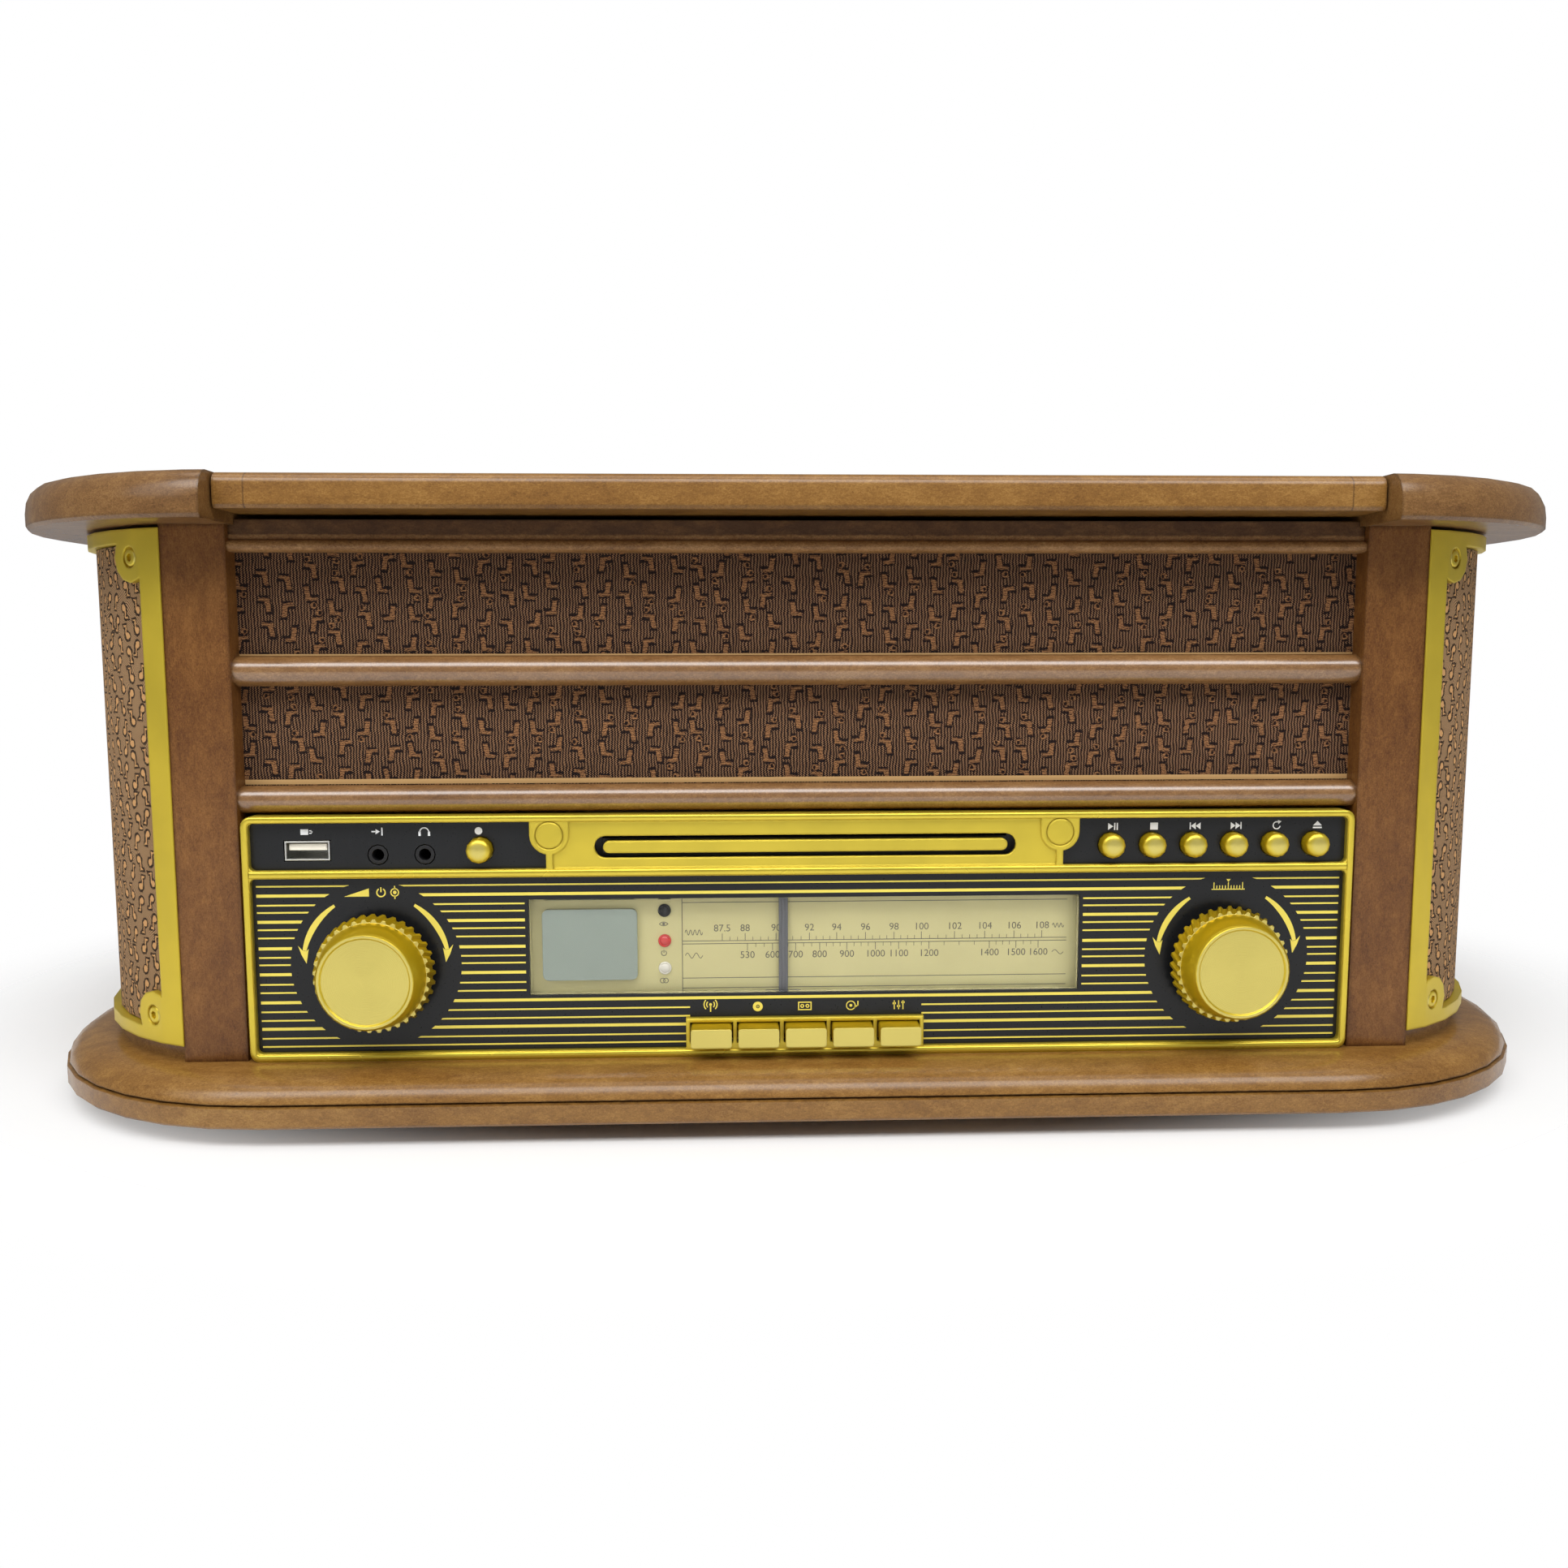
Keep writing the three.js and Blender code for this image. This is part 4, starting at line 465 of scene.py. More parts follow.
# The shadow boxes and discs mark painted shadow beside the raised parts of a motif
HOOK_LIMB, HOOK_LIMB_SHADOW = (-0.75, 1.05, 0.74, 1.65), (-0.75, 1.15, 1.12, 2.35)
HOOK_BAR = (0.15, -0.95, 1.65, 0.5)
HOOK_BAR_SHADOWS = ((1.35, -0.12, 1.2, 0.42), (0.3, -1.75, 1.5, 0.36))
LOOP_CHANCE = 0.6
LOOP, LOOP_EYE, LOOP_SHADOW = (0.95, -2.95, 1.0), (1.15, -2.85, 0.5), (1.05, -2.75, 1.15)
LOOP_FOOT_SHADOW = (0.9, -4.05, 0.8, 0.3)
STITCH_ROW, STITCH_PITCH, LADDER_PITCH = 0.66, 0.93, 0.53

NOTE_CELL = (5.6, 6.4)
NOTE_FUZZ_SCALE, NOTE_UNEVEN_SCALE, NOTE_WANDER_SCALE, NOTE_WANDER = 2.2, 0.4, 0.12, 6
NOTE_HEAD, NOTE_HEAD_SHADOW = (-0.5, -1.1, 1.05), (-0.42, -1.15, 1.75)
NOTE_STEM, NOTE_STEM_SHADOW = (0.42, 0.55, 0.26, 1.7), (0.55, 0.5, 0.85, 2.3)
NOTE_FLAG, NOTE_FLAG_SHADOW = (-0.3, 1.9, 0.6, 0.26), (-0.1, 1.95, 1.2, 0.8)
NOTE_SQUEEZE, NOTE_FLAG_LEAN = 1.08, 0.7
HERRINGBONE_WIDTH, HERRINGBONE_SLOPE, HERRINGBONE_PITCH = 4.6, 0.95, 0.66


def scatter(look, along, z, width, height):
    """Places within a cell for one motif, turned over and shifted at random, with a ragged edge."""
    across = along / width + CELL_ORIGIN
    column = across.floor()
    climb = z / height + look.chance(column, 3) * COLUMN_SHIFT
    row = climb.floor()
    flip_u = look.chance(column, row).below(0.5) * 2 - 1
    flip_v = look.chance(column, row, seed=5).below(0.5) * 2 - 1
    slide_u = (look.chance(column, row, seed=9) - 0.5) * width * SLIDE_U
    slide_v = (look.chance(column, row, seed=13) - 0.5) * height * SLIDE_V
    rag_u = (look.noise(along * RAG_SCALE, z * RAG_SCALE, 2, detail=3) - 0.5) * RAG
    rag_v = (look.noise(along * RAG_SCALE, z * RAG_SCALE, 8, detail=3) - 0.5) * RAG
    u = ((across.fract() - 0.5) * width + slide_u) * flip_u + rag_u
    v = (climb.fract() - 0.5) * height * flip_v + slide_v + rag_v
    return u, v, look.chance(column, row, seed=17)


def cloth_finish(look, raised, woven, figure, height):
    return look.finish(
        base_color=look.mix(raised, woven, figure),
        roughness=0.9,
        specular_ior_level=0.2,
        normal=look.relief(height, CLOTH_RELIEF),
    )


def hook_cloth(name, dark, strand, copper, deep):
    """Knitted ground of fine upright zigzags, with bent hooks, some of which carry a small loop,
    and painted shadow beside the hooks and inside the loops.
    """
    look = Look(name)
    x, y, z = look.place()
    u, v, lot = scatter(look, x, z, *HOOK_CELL)
    lean = u + v * HOOK_LEAN
    looped = lot.below(LOOP_CHANCE)
    loop = (disc_mask(u, v, *LOOP) - disc_mask(u, v, *LOOP_EYE)) * looped
    limb = box_mask(lean, v, *HOOK_LIMB)
    raised = limb.most(box_mask(u, v + u * HOOK_BAR_LEAN, *HOOK_BAR)).most(loop)
    # Painted shadow beside the hook's limb and bar and inside its loop, which also sinks a little
    # in the relief
    painted_shadow = box_mask(lean, v, *HOOK_LIMB_SHADOW)
    for box in HOOK_BAR_SHADOWS:
        painted_shadow = painted_shadow.most(box_mask(u, v, *box))
    painted_shadow = painted_shadow.most(disc_mask(u, v, *LOOP_SHADOW) * looped)
    painted_shadow = painted_shadow.most(box_mask(u, v, *LOOP_FOOT_SHADOW) * looped)
    depth = y * HOOK_DEPTH_SCALE
    fuzz = look.noise(x * HOOK_FUZZ_SCALE, z * HOOK_FUZZ_SCALE, depth)
    uneven = look.noise(x * HOOK_UNEVEN_SCALE, z * HOOK_UNEVEN_SCALE, depth, detail=3)
    fold = (z / STITCH_ROW).zigzag(0.5)
    stroke = (((x - fold * 0.9 + uneven * 1.2) / STITCH_PITCH) * TURN).sin()
    thread = (stroke + fuzz * 0.9 - 0.6).smooth(-0.1, 0.75)
    ground = look.mix(thread * (uneven * 0.8 + 0.55).least(1), dark, strand)
    woven = look.mix(painted_shadow * 0.95, ground, dark)
    ladder = (v.wave(LADDER_PITCH) + fuzz - 0.3).smooth(-0.7, 0.35)
    figure = look.mix(ladder * (uneven * 0.5 + 0.72).least(1), deep, copper)
    return cloth_finish(look, raised, woven, figure, raised * 0.4 + thread * 0.5 - painted_shadow * 0.3)


def note_cloth(name, corner, dark, strand, copper):
    """Herringbone ground with small round-headed notes, laid round the corners of a wall, with
    painted shadow round the notes.
    """
    look = Look(name)
    x, y, z = look.place()
    corner_x, corner_y, radius = corner
    past = (y.abs() - corner_y).most(0)
    angle = past.op("ARCTAN2", (x.abs() - corner_x).most(0.01))
    along = y.op("SIGN") * (y.abs().least(corner_y) + angle * radius)
    u, v, _ = scatter(look, along, z, *NOTE_CELL)
    squeezed = u * NOTE_SQUEEZE
    lean = u - v * NOTE_FLAG_LEAN
    raised = disc_mask(squeezed, v, *NOTE_HEAD).most(box_mask(u, v, *NOTE_STEM))
    raised = raised.most(box_mask(lean, v, *NOTE_FLAG))
    # Painted shadow round the note's head, stem and flag, which also sinks a little in the relief
    painted_shadow = disc_mask(squeezed, v, *NOTE_HEAD_SHADOW).most(box_mask(u, v, *NOTE_STEM_SHADOW))
    painted_shadow = painted_shadow.most(box_mask(lean, v, *NOTE_FLAG_SHADOW))
    wander = look.noise(along * NOTE_WANDER_SCALE, z * NOTE_WANDER_SCALE, 4, detail=1) * NOTE_WANDER
    fold = (along + wander).zigzag(HERRINGBONE_WIDTH) * HERRINGBONE_SLOPE
    stroke = (z + fold).wave(HERRINGBONE_PITCH)
    fuzz = look.noise(along * NOTE_FUZZ_SCALE, z * NOTE_FUZZ_SCALE, 2)
    uneven = look.noise(along * NOTE_UNEVEN_SCALE, z * NOTE_UNEVEN_SCALE, 6)
    thread = (stroke + fuzz - 0.35).smooth(-0.6, 0.5) * (uneven * 0.5 + 0.75).least(1)
    woven = look.mix(painted_shadow * (fuzz * 1.9).least(1), look.mix(thread, dark, strand), dark)
    figure = look.mix((fuzz * 0.5 + 0.65).least(1), strand, copper)
    return cloth_finish(look, raised, woven, figure, raised * 0.4 + thread * 0.45 - painted_shadow * 0.3)


def clear_plastic():
    look = Look("clear_plastic")
    haze = look.grain(look.place(), 0.04, detail=3)
    return look.finish(
        base_color=(1, 1, 1, 1),
        roughness=haze * 0.05 + 0.01,
        transmission_weight=1.0,
        ior=1.2,
    )


def from_middle(place, box):
    """How far each point lies from the upright axis through the middle of a box, in millimetres."""
    low, high = box
    middle = (low + high) / 2 / MM
    return hypotenuse(place[0] - middle.x, place[1] - middle.y)


def turned_metal():
    """Platter: rings turned about the spindle."""
    look = Look("turned_metal")
    place = look.place()
    ring = from_middle(place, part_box("platter")).wave(0.8) * 0.5 + 0.5
    haze = look.grain(place, HAZE_SCALE, detail=3)
    return look.finish(
        base_color=look.mix(haze, colour(176, 176, 178), colour(206, 206, 208)),
        metallic=1.0,
        roughness=haze * 0.2 + 0.22,
        normal=look.relief(ring, 0.02),
    )


def ribbed_mat():
    look = Look("ribbed_mat")
    place = look.place()
    rib = from_middle(place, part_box("platter_mat")).wave(4).smooth(-0.4, 0.4)
    fine = look.grain(place, 2)
    # The grooves between the ribs are painted darker than the ribs' tops: painted shade
    tint = look.ramp(rib * 0.7 + fine * 0.3, (0.0, colour(16, 16, 17)), (1.0, colour(44, 44, 46)))
    return look.finish(base_color=tint, roughness=0.85, normal=look.relief(rib, 0.6))


# The materials. The side walls turn their corners about a centre, at the radius of their cloth,
# and the knobs have turned rings on the faces in front of a depth
SIDE_CORNER_X, SIDE_CORNER_Y, SIDE_CLOTH_RADIUS = 160.4, 96.4, 70.7
LID_JOINTS = (-159.1, 158.0)
KNOB_X, KNOB_Z, KNOB_FACE_BACK = 130.1, 48, -177

WOOD_LID = wood("wood_lid", 0, joints=LID_JOINTS, edge=1.4)
WOOD_CAP = wood(
    "wood_cap",
    0,
    colour(80, 52, 25),
    colour(114, 80, 42),
    colour(146, 110, 64),
    edge=2,
)
# The top rail, with painted shade: a dark band over its upper part, where it lies under the lid
WOOD_NOSE = wood(
    "wood_nose",
    0,
    colour(84, 54, 28),
    colour(132, 96, 58),
    colour(168, 130, 86),
    dark_band=(181.4, 2.9),
    gloss=0.3,
)
# The plinth, with a dark uneven line painted along its groove
WOOD_PLINTH = wood("wood_plinth", 0, dark_band=(12.9, 0.35), gloss=0.75)
WOOD_RAIL = wood(
    "wood_rail",
    0,
    colour(92, 60, 30),
    colour(128, 90, 50),
    colour(160, 122, 76),
    edge=2.4,
    gloss=1,
    index=1.8,
)
WOOD_POST = wood(
    "wood_post",
    2,
    colour(72, 40, 17),
    colour(107, 68, 30),
    colour(138, 94, 46),
    edge=2.4,
    gloss=0.45,
)
HARDBOARD = wood("hardboard", 0, colour(74, 54, 36), colour(92, 68, 46), colour(108, 82, 58))
FRONT_CLOTH = hook_cloth(
    "front_cloth",
    dark=colour(22, 13, 13),
    strand=colour(148, 110, 78),
    copper=colour(152, 108, 70),
    deep=colour(52, 30, 22),
)
SIDE_CLOTH = note_cloth(
    "side_cloth",
    (SIDE_CORNER_X, SIDE_CORNER_Y, SIDE_CLOTH_RADIUS),
    dark=colour(36, 24, 21),
    strand=colour(190, 152, 110),
    copper=colour(204, 156, 102),
)
CLOTH_EDGE = plastic("cloth_edge", colour(190, 150, 96), 0.6, texture=0.03, size=2.4)
PANEL_GOLD = gold("panel_gold", GOLD, 0.32, brushed=0, edge=1.1)
BEAD_GOLD = gold("bead_gold", GOLD, 0.26, edge=0.1)
TRIM_GOLD = gold("trim_gold", colour(202, 178, 54), 0.42, edge=0.9)
# Buttons, keys, screws and knobs: gold with a painted sheen on front faces and painted shade on
# faces turned away
BUTTON_GOLD = gold("button_gold", GOLD, 0.32, deep=GOLD_PAINTED_SHADE, pale=GOLD_PAINTED_SHEEN)
KNOB_GOLD = {
    name: gold(
        f"{name}_gold",
        GOLD,
        0.32,
        ring_centre=(x, KNOB_Z, KNOB_FACE_BACK),
        deep=GOLD_PAINTED_SHADE,
        pale=GOLD_PAINTED_SHEEN,
    )
    for name, x in (("volume_knob", -KNOB_X), ("tuning_knob", KNOB_X))
}
PRINT_GOLD = plastic(
    "print_gold",
    colour(228, 210, 88),
    0.4,
    texture=0.004,
    metallic=0.15,
    edge=0.02,
)
PRINT_WHITE = plastic("print_white", colour(222, 224, 226), 0.5, texture=0.004, edge=0.02)
PRINT_GREY = plastic("print_grey", colour(96, 92, 78), 0.6, texture=0.004, edge=0.02)
FACIA_BLACK = plastic("facia_black", colour(20, 21, 23), 0.3, texture=0.006, specular=0.3)
TEXTURED_BLACK = plastic("textured_black", colour(26, 26, 28), 0.5, texture=0.05, specular=0.35)
TEXTURED_GREY = plastic("textured_grey", colour(92, 92, 94), 0.5, texture=0.04)
RUBBER = plastic("rubber", colour(24, 24, 25), 0.85, texture=0.06)
STEEL = plastic("steel", colour(188, 188, 184), 0.3, texture=0.008, metallic=1.0)
CREAM = plastic("cream_tongue", colour(236, 230, 214), 0.45, texture=0.01)
CIRCUIT = plastic("circuit_board", colour(38, 84, 52), 0.5, texture=0.03, size=0.8)
CONE_PAPER = plastic("cone_paper", colour(38, 38, 38), 0.9, texture=0.12, size=3)
DIAL_CREAM = plastic("dial_cream", colour(194, 186, 134), 0.55, texture=0.01, metallic=0.1)
LAMP_RED = plastic("lamp_red", colour(196, 44, 40), 0.2, texture=0.002, coat=0.5)
LAMP_CLEAR = plastic("lamp_clear", colour(214, 210, 196), 0.25, texture=0.002, coat=0.5)
DISPLAY_GLASS = plastic("display_glass", colour(130, 141, 129), 0.16, texture=0.002, coat=0.6)


# Dressing of the nodes. An edge that bends by more than its crease, in degrees, stays crisp
CREASE, BUTTON_CREASE, RAIL_CREASE = 32, 50, 58
WELD_GAP = 1e-6


def soften(name, crease):
    """Smooth shading over curved faces, with the sharper edges kept crisp."""
    piece = nodes[name]
    mesh = piece.data
    if "custom_normal" in mesh.attributes:
        mesh.attributes.remove(mesh.attributes["custom_normal"])
    mesh.polygons.foreach_set("use_smooth", [True] * len(mesh.polygons))
    weld = piece.modifiers.new("weld", "WELD")
    weld.merge_threshold = WELD_GAP
    split = piece.modifiers.new("split", "EDGE_SPLIT")
    split.split_angle = math.radians(crease)
    split.use_edge_sharp = False


def dress(material, *names, crease=CREASE):
    for name in names:
        slots = nodes[name].data.materials
        slots.clear()
        slots.append(material)
        soften(name, crease)


def repaint(name, material, belongs):
    """Gives some faces another material, chosen by where their centre is in millimetres."""
    mesh = nodes[name].data
    mesh.materials.append(material)
    for face in mesh.polygons:
        if belongs(*(face.center / MM)):
            face.material_index = len(mesh.materials) - 1


dress(WOOD_PLINTH, "base_plinth")
dress(WOOD_LID, "lid")
dress(WOOD_CAP, "top_cap_left", "top_cap_right")
dress(WOOD_RAIL, "rail_lower", "rail_middle", crease=RAIL_CREASE)
dress(WOOD_NOSE, "rail_top", crease=RAIL_CREASE)
dress(WOOD_POST, "side_board_left", "side_board_right")
dress(HARDBOARD, "back_panel")
dress(RUBBER, *[f"foot_{end}_{side}" for end in ("front", "rear") for side in ("left", "right")])
dress(FRONT_CLOTH, "front_grille_board")
dress(SIDE_CLOTH, "side_grille_left", "side_grille_right")
dress(TRIM_GOLD, "side_trim_left", "side_trim_right")
dress(PANEL_GOLD, "front_panel", "disc_tray_door")
dress(FACIA_BLACK, "facia_panel")
dress(clear_plastic(), "dial_window")
dress(DIAL_CREAM, "dial_plate")
dress(DISPLAY_GLASS, "display_module")
dress(TEXTURED_GREY, "dial_pointer", "tonearm", "tonearm_yoke", "cue_lever", "speed_switch")
dress(TEXTURED_GREY, "disc_mechanism")
dress(BUTTON_GOLD, "record_button", crease=BUTTON_CREASE)
dress(BUTTON_GOLD, *[f"transport_button_{i}" for i in range(1, 7)], crease=BUTTON_CREASE)
dress(BUTTON_GOLD, *[f"function_key_{i}" for i in range(1, 6)])
for knob, knob_gold in KNOB_GOLD.items():
    dress(knob_gold, knob)
dress(TEXTURED_BLACK, "deck_tray", "disc_tray", "tape_deck", "tape_flap", "tape_key")
dress(STEEL, "hinge_lid_leaf", "hinge_cabinet_leaf", "lid_stay", "turntable_motor")
dress(turned_metal(), "platter")
dress(ribbed_mat(), "platter_mat")
dress(CONE_PAPER, "speaker_left", "speaker_right")
dress(CIRCUIT, "main_board", "socket_board")

# The sockets on their board: black jacks, and a steel shell with a cream tongue
SOCKETS_BACK = -148.9
SHELL_RIGHT = -141
STICK_X = -150.2
TONGUE_HALF, TONGUE_LOW, TONGUE_HIGH = 5.7, 84.7, 86.7


def in_socket(x, y, z):
    return y < SOCKETS_BACK


def in_shell(x, y, z):
    return y < SOCKETS_BACK and x < SHELL_RIGHT


def in_tongue(x, y, z):
    return in_shell(x, y, z) and TONGUE_LOW < z < TONGUE_HIGH and abs(x - STICK_X) < TONGUE_HALF


repaint("socket_board", TEXTURED_BLACK, in_socket)
repaint("socket_board", STEEL, in_shell)
repaint("socket_board", CREAM, in_tongue)


# Printed and small fitted pieces. Flat prints are outlines of (x, z) in millimetres,
# at a depth along Y


def make_mesh(name, points, faces, material, body, smooth=False):
    mesh = bpy.data.meshes.new(name)
    mesh.from_pydata([[value * MM for value in point] for point in points], [], faces)
    mesh.materials.append(material)
    mesh.polygons.foreach_set("use_smooth", [smooth] * len(mesh.polygons))
    mesh.update()
    piece = bpy.data.objects.new(name, mesh)
    bpy.context.scene.collection.objects.link(piece)
    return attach(piece, body)


def print_flat(name, outlines, depth, material):
    points, faces = [], []
    for outline in outlines:
        area = sum(a[0] * b[1] - b[0] * a[1] for a, b in zip(outline, outline[1:] + outline[:1]))
        turned = outline if area > 0 else outline[::-1]
        faces.append(list(range(len(points), len(points) + len(turned))))
        points += [(x, depth, z) for x, z in turned]
    return make_mesh(name, points, faces, material, "cabinet")


def bar(x0, x1, z0, z1):
    return [[(x0, z0), (x1, z0), (x1, z1), (x0, z1)]]


def upright(x, half, z0, z1):
    return bar(x - half, x + half, z0, z1)


def line(start, end, width):
    (x0, z0), (x1, z1) = start, end
    length = math.hypot(x1 - x0, z1 - z0)
    dx, dz = (z0 - z1) / length * width / 2, (x1 - x0) / length * width / 2
    return [[(x0 + dx, z0 + dz), (x1 + dx, z1 + dz), (x1 - dx, z1 - dz), (x0 - dx, z0 - dz)]]


def arc(centre, radius, width, start, end, steps=24):
    """A band of four-sided pieces round a centre, in degrees."""
    turns = [math.radians(start + (end - start) * i / steps) for i in range(steps + 1)]

    def at(reach, turn):
        return (centre[0] + reach * math.cos(turn), centre[1] + reach * math.sin(turn))

    inner, outer = radius - width / 2, radius + width / 2
    return [
        [at(inner, a), at(outer, a), at(outer, b), at(inner, b)]
        for a, b in zip(turns, turns[1:])
    ]


def ring(centre, radius, width, steps=24):
    return arc(centre, radius, width, 0, 360, steps)


def dot(centre, radius, steps=24):
    turns = [TURN * i / steps for i in range(steps)]
    return [[(centre[0] + radius * math.cos(t), centre[1] + radius * math.sin(t)) for t in turns]]


def triangle(x, direction, width=1.5, height=2.2):
    return [[(x, -height / 2), (x + direction * width, 0), (x, height / 2)]]


def moved(outlines, x, z, mirror=1):
    return [[(x + mirror * u, z + v) for u, v in outline] for outline in outlines]


# Half-round beads of the panel's moulding: round its rim and along the divider
PANEL_FRONT = -164.2
BEAD_RISE = 0.5
RIM_X, RIM_LOW, RIM_HIGH, RIM_RADIUS, RIM_HALF = 166, 23.4, 92.3, 2.0, 0.95
DIVIDER_X, DIVIDER_Z, DIVIDER_HALF = 166.9, 77.7, 1.05
LEAST_MITRE = 0.5


def bead(name, path, closed, half_width):
    """A half-round bead along a path of (x, z) on the front panel, mitred at its corners."""
    turns = [math.radians(step) for step in range(-90, 91, 18)]
    points, faces = [], []
    for i, (x, z) in enumerate(path):
        before = path[i - 1] if closed or i else path[i]
        after = path[(i + 1) % len(path)] if closed or i + 1 < len(path) else path[i]
        first = Vector((x - before[0], z - before[1])).normalized()
        second = Vector((after[0] - x, after[1] - z)).normalized()
        along = (first + second).normalized()
        mitre = max(along.dot(second or first), along.dot(first or second), LEAST_MITRE)
        side = Vector((-along.y, along.x)) * (half_width / mitre)
        for turn in turns:
            spot = Vector((x, z)) + side * math.sin(turn)
            points.append((spot.x, PANEL_FRONT - BEAD_RISE * math.cos(turn), spot.y))
    rows = len(path) if closed else len(path) - 1
    across = len(turns)
    for i in range(rows):
        for j in range(across - 1):
            a, b = i * across + j, (i + 1) % len(path) * across + j
            faces.append((a, b, b + 1, a + 1))
    return make_mesh(name, points, faces, BEAD_GOLD, "cabinet", smooth=True)


rim = []
for corner_x, corner_z, first_turn in (
    (RIM_X, RIM_HIGH, 0),
    (-RIM_X, RIM_HIGH, 90),
    (-RIM_X, RIM_LOW, 180),
    (RIM_X, RIM_LOW, 270),
):
    for step in range(0, 91, 15):
        turn = math.radians(first_turn + step)
        rim.append((corner_x + RIM_RADIUS * math.cos(turn), corner_z + RIM_RADIUS * math.sin(turn)))
bead("rim_bead", rim, True, RIM_HALF)
bead("divider_bead", [(-DIVIDER_X, DIVIDER_Z), (DIVIDER_X, DIVIDER_Z)], False, DIVIDER_HALF)

# Bare lower edges of the cloth's board, just above the rails
CLOTH_FRONT = -155.24
CLOTH_END = 170.1
print_flat("cloth_edge_lower", bar(-CLOTH_END, CLOTH_END, 104.1, 105.6), CLOTH_FRONT, CLOTH_EDGE)
print_flat("cloth_edge_upper", bar(-CLOTH_END, CLOTH_END, 143.0, 143.5), CLOTH_FRONT, CLOTH_EDGE)

# Stripes of the facia, in rows at given heights, with clear rounds for the knobs
# and a clear middle
FACIA_PRINT = -162.04
KNOB_CENTRES = (-130.8, 131.0)
KNOB_PRINT_Z = 49.5
KNOB_PRINT_RADIUS, KNOB_GAP_RISE, KNOB_GAP_LEAST = 25.7, 25, 6.5
STRIPE_END = 165.9
WINDOW_LOW, WINDOW_HIGH, WINDOW_HALF = 38.8, 69, 85.7
KEYS_TOP, KEYS_HALF = 36.4, 35.8
THICK, THIN = 0.92, 0.5
THICK_ROWS = (71.0, 62.98, 54.81, 46.78, 38.07, 29.84)
UPPER_THIN_ROWS = (73.87, 68.08, 65.84, 60.56, 58.02, 52.01, 49.74)
LOWER_THIN_ROWS = (43.67, 41.1, 35.15, 32.45, 26.88, 24.32)
ROWS = [(z, THICK) for z in THICK_ROWS] + [(z, THIN) for z in UPPER_THIN_ROWS + LOWER_THIN_ROWS]


def knob_gap(z):
    """Half of the clear width round a knob at a height, or 0 beyond it."""
    rise = abs(z - KNOB_PRINT_Z)
    if rise > KNOB_GAP_RISE:
        return 0
    return max(math.sqrt(KNOB_PRINT_RADIUS**2 - rise**2), KNOB_GAP_LEAST)


def middle_gap(z):
    """Half of the clear width at a height, for the dial window or the keys."""
    if WINDOW_LOW < z < WINDOW_HIGH:
        return WINDOW_HALF
    return KEYS_HALF if z < KEYS_TOP else 0


def stripes():
    made = []
    for z, thickness in ROWS:
        low, high = z - thickness / 2, z + thickness / 2
        ends = []
        for side in (-1, 1):
            ends.append((side * STRIPE_END, side * STRIPE_END))
            if middle_gap(z):
                ends.append((side * middle_gap(z), side * middle_gap(z)))
            if knob_gap(z):
                reach_low, reach_high = side * knob_gap(low), side * knob_gap(high)
                ends += [(knob + reach_low, knob + reach_high) for knob in KNOB_CENTRES]
        ends.sort()
        for a, b in zip(ends[::2], ends[1::2]):
            made.append([(a[0], low), (b[0], low), (b[1], high), (a[1], high)])
    return made


print_flat("facia_stripes", stripes(), FACIA_PRINT, PRINT_GOLD)

# The pair of turning arrows beside a knob
ARROW_RADIUS, ARROW_LEAST, ARROW_SWELL = 21.9, 0.7, 1.1
ARROW_START, ARROW_STEP, ARROW_STEPS = 123, 1.6, 28
ARROW_INNER, ARROW_INNER_BARB = (-20.83, 4.43), (-20.15, 5.15)
ARROW_OUTER, ARROW_OUTER_BARB = (-22.02, 4.68), (-23.3, 6.15)
ARROW_FLANK, ARROW_TIP = (-22.35, 3.3), (-20.95, 0.6)


def turn_arrow():
    """The left arrow: a curved band that swells and narrows again towards a barbed head."""
    band = []
    for i in range(ARROW_STEPS):
        start = ARROW_START + i * ARROW_STEP
        width = ARROW_LEAST + ARROW_SWELL * math.sin(math.pi * (i + 2) / (ARROW_STEPS + 6))
        band += arc((0, 0), ARROW_RADIUS, width, start, start + ARROW_STEP, 1)
    return band + [
        [ARROW_INNER, ARROW_OUTER, ARROW_FLANK, ARROW_TIP],
        [ARROW_OUTER, ARROW_OUTER_BARB, ARROW_FLANK],
        [ARROW_INNER, ARROW_TIP, ARROW_INNER_BARB],
    ]


arrows = []
for centre in KNOB_CENTRES:
    for mirror in (1, -1):
        arrows += moved(turn_arrow(), centre, KNOB_PRINT_Z, mirror)
print_flat("knob_arrows", arrows, FACIA_PRINT, PRINT_GOLD)

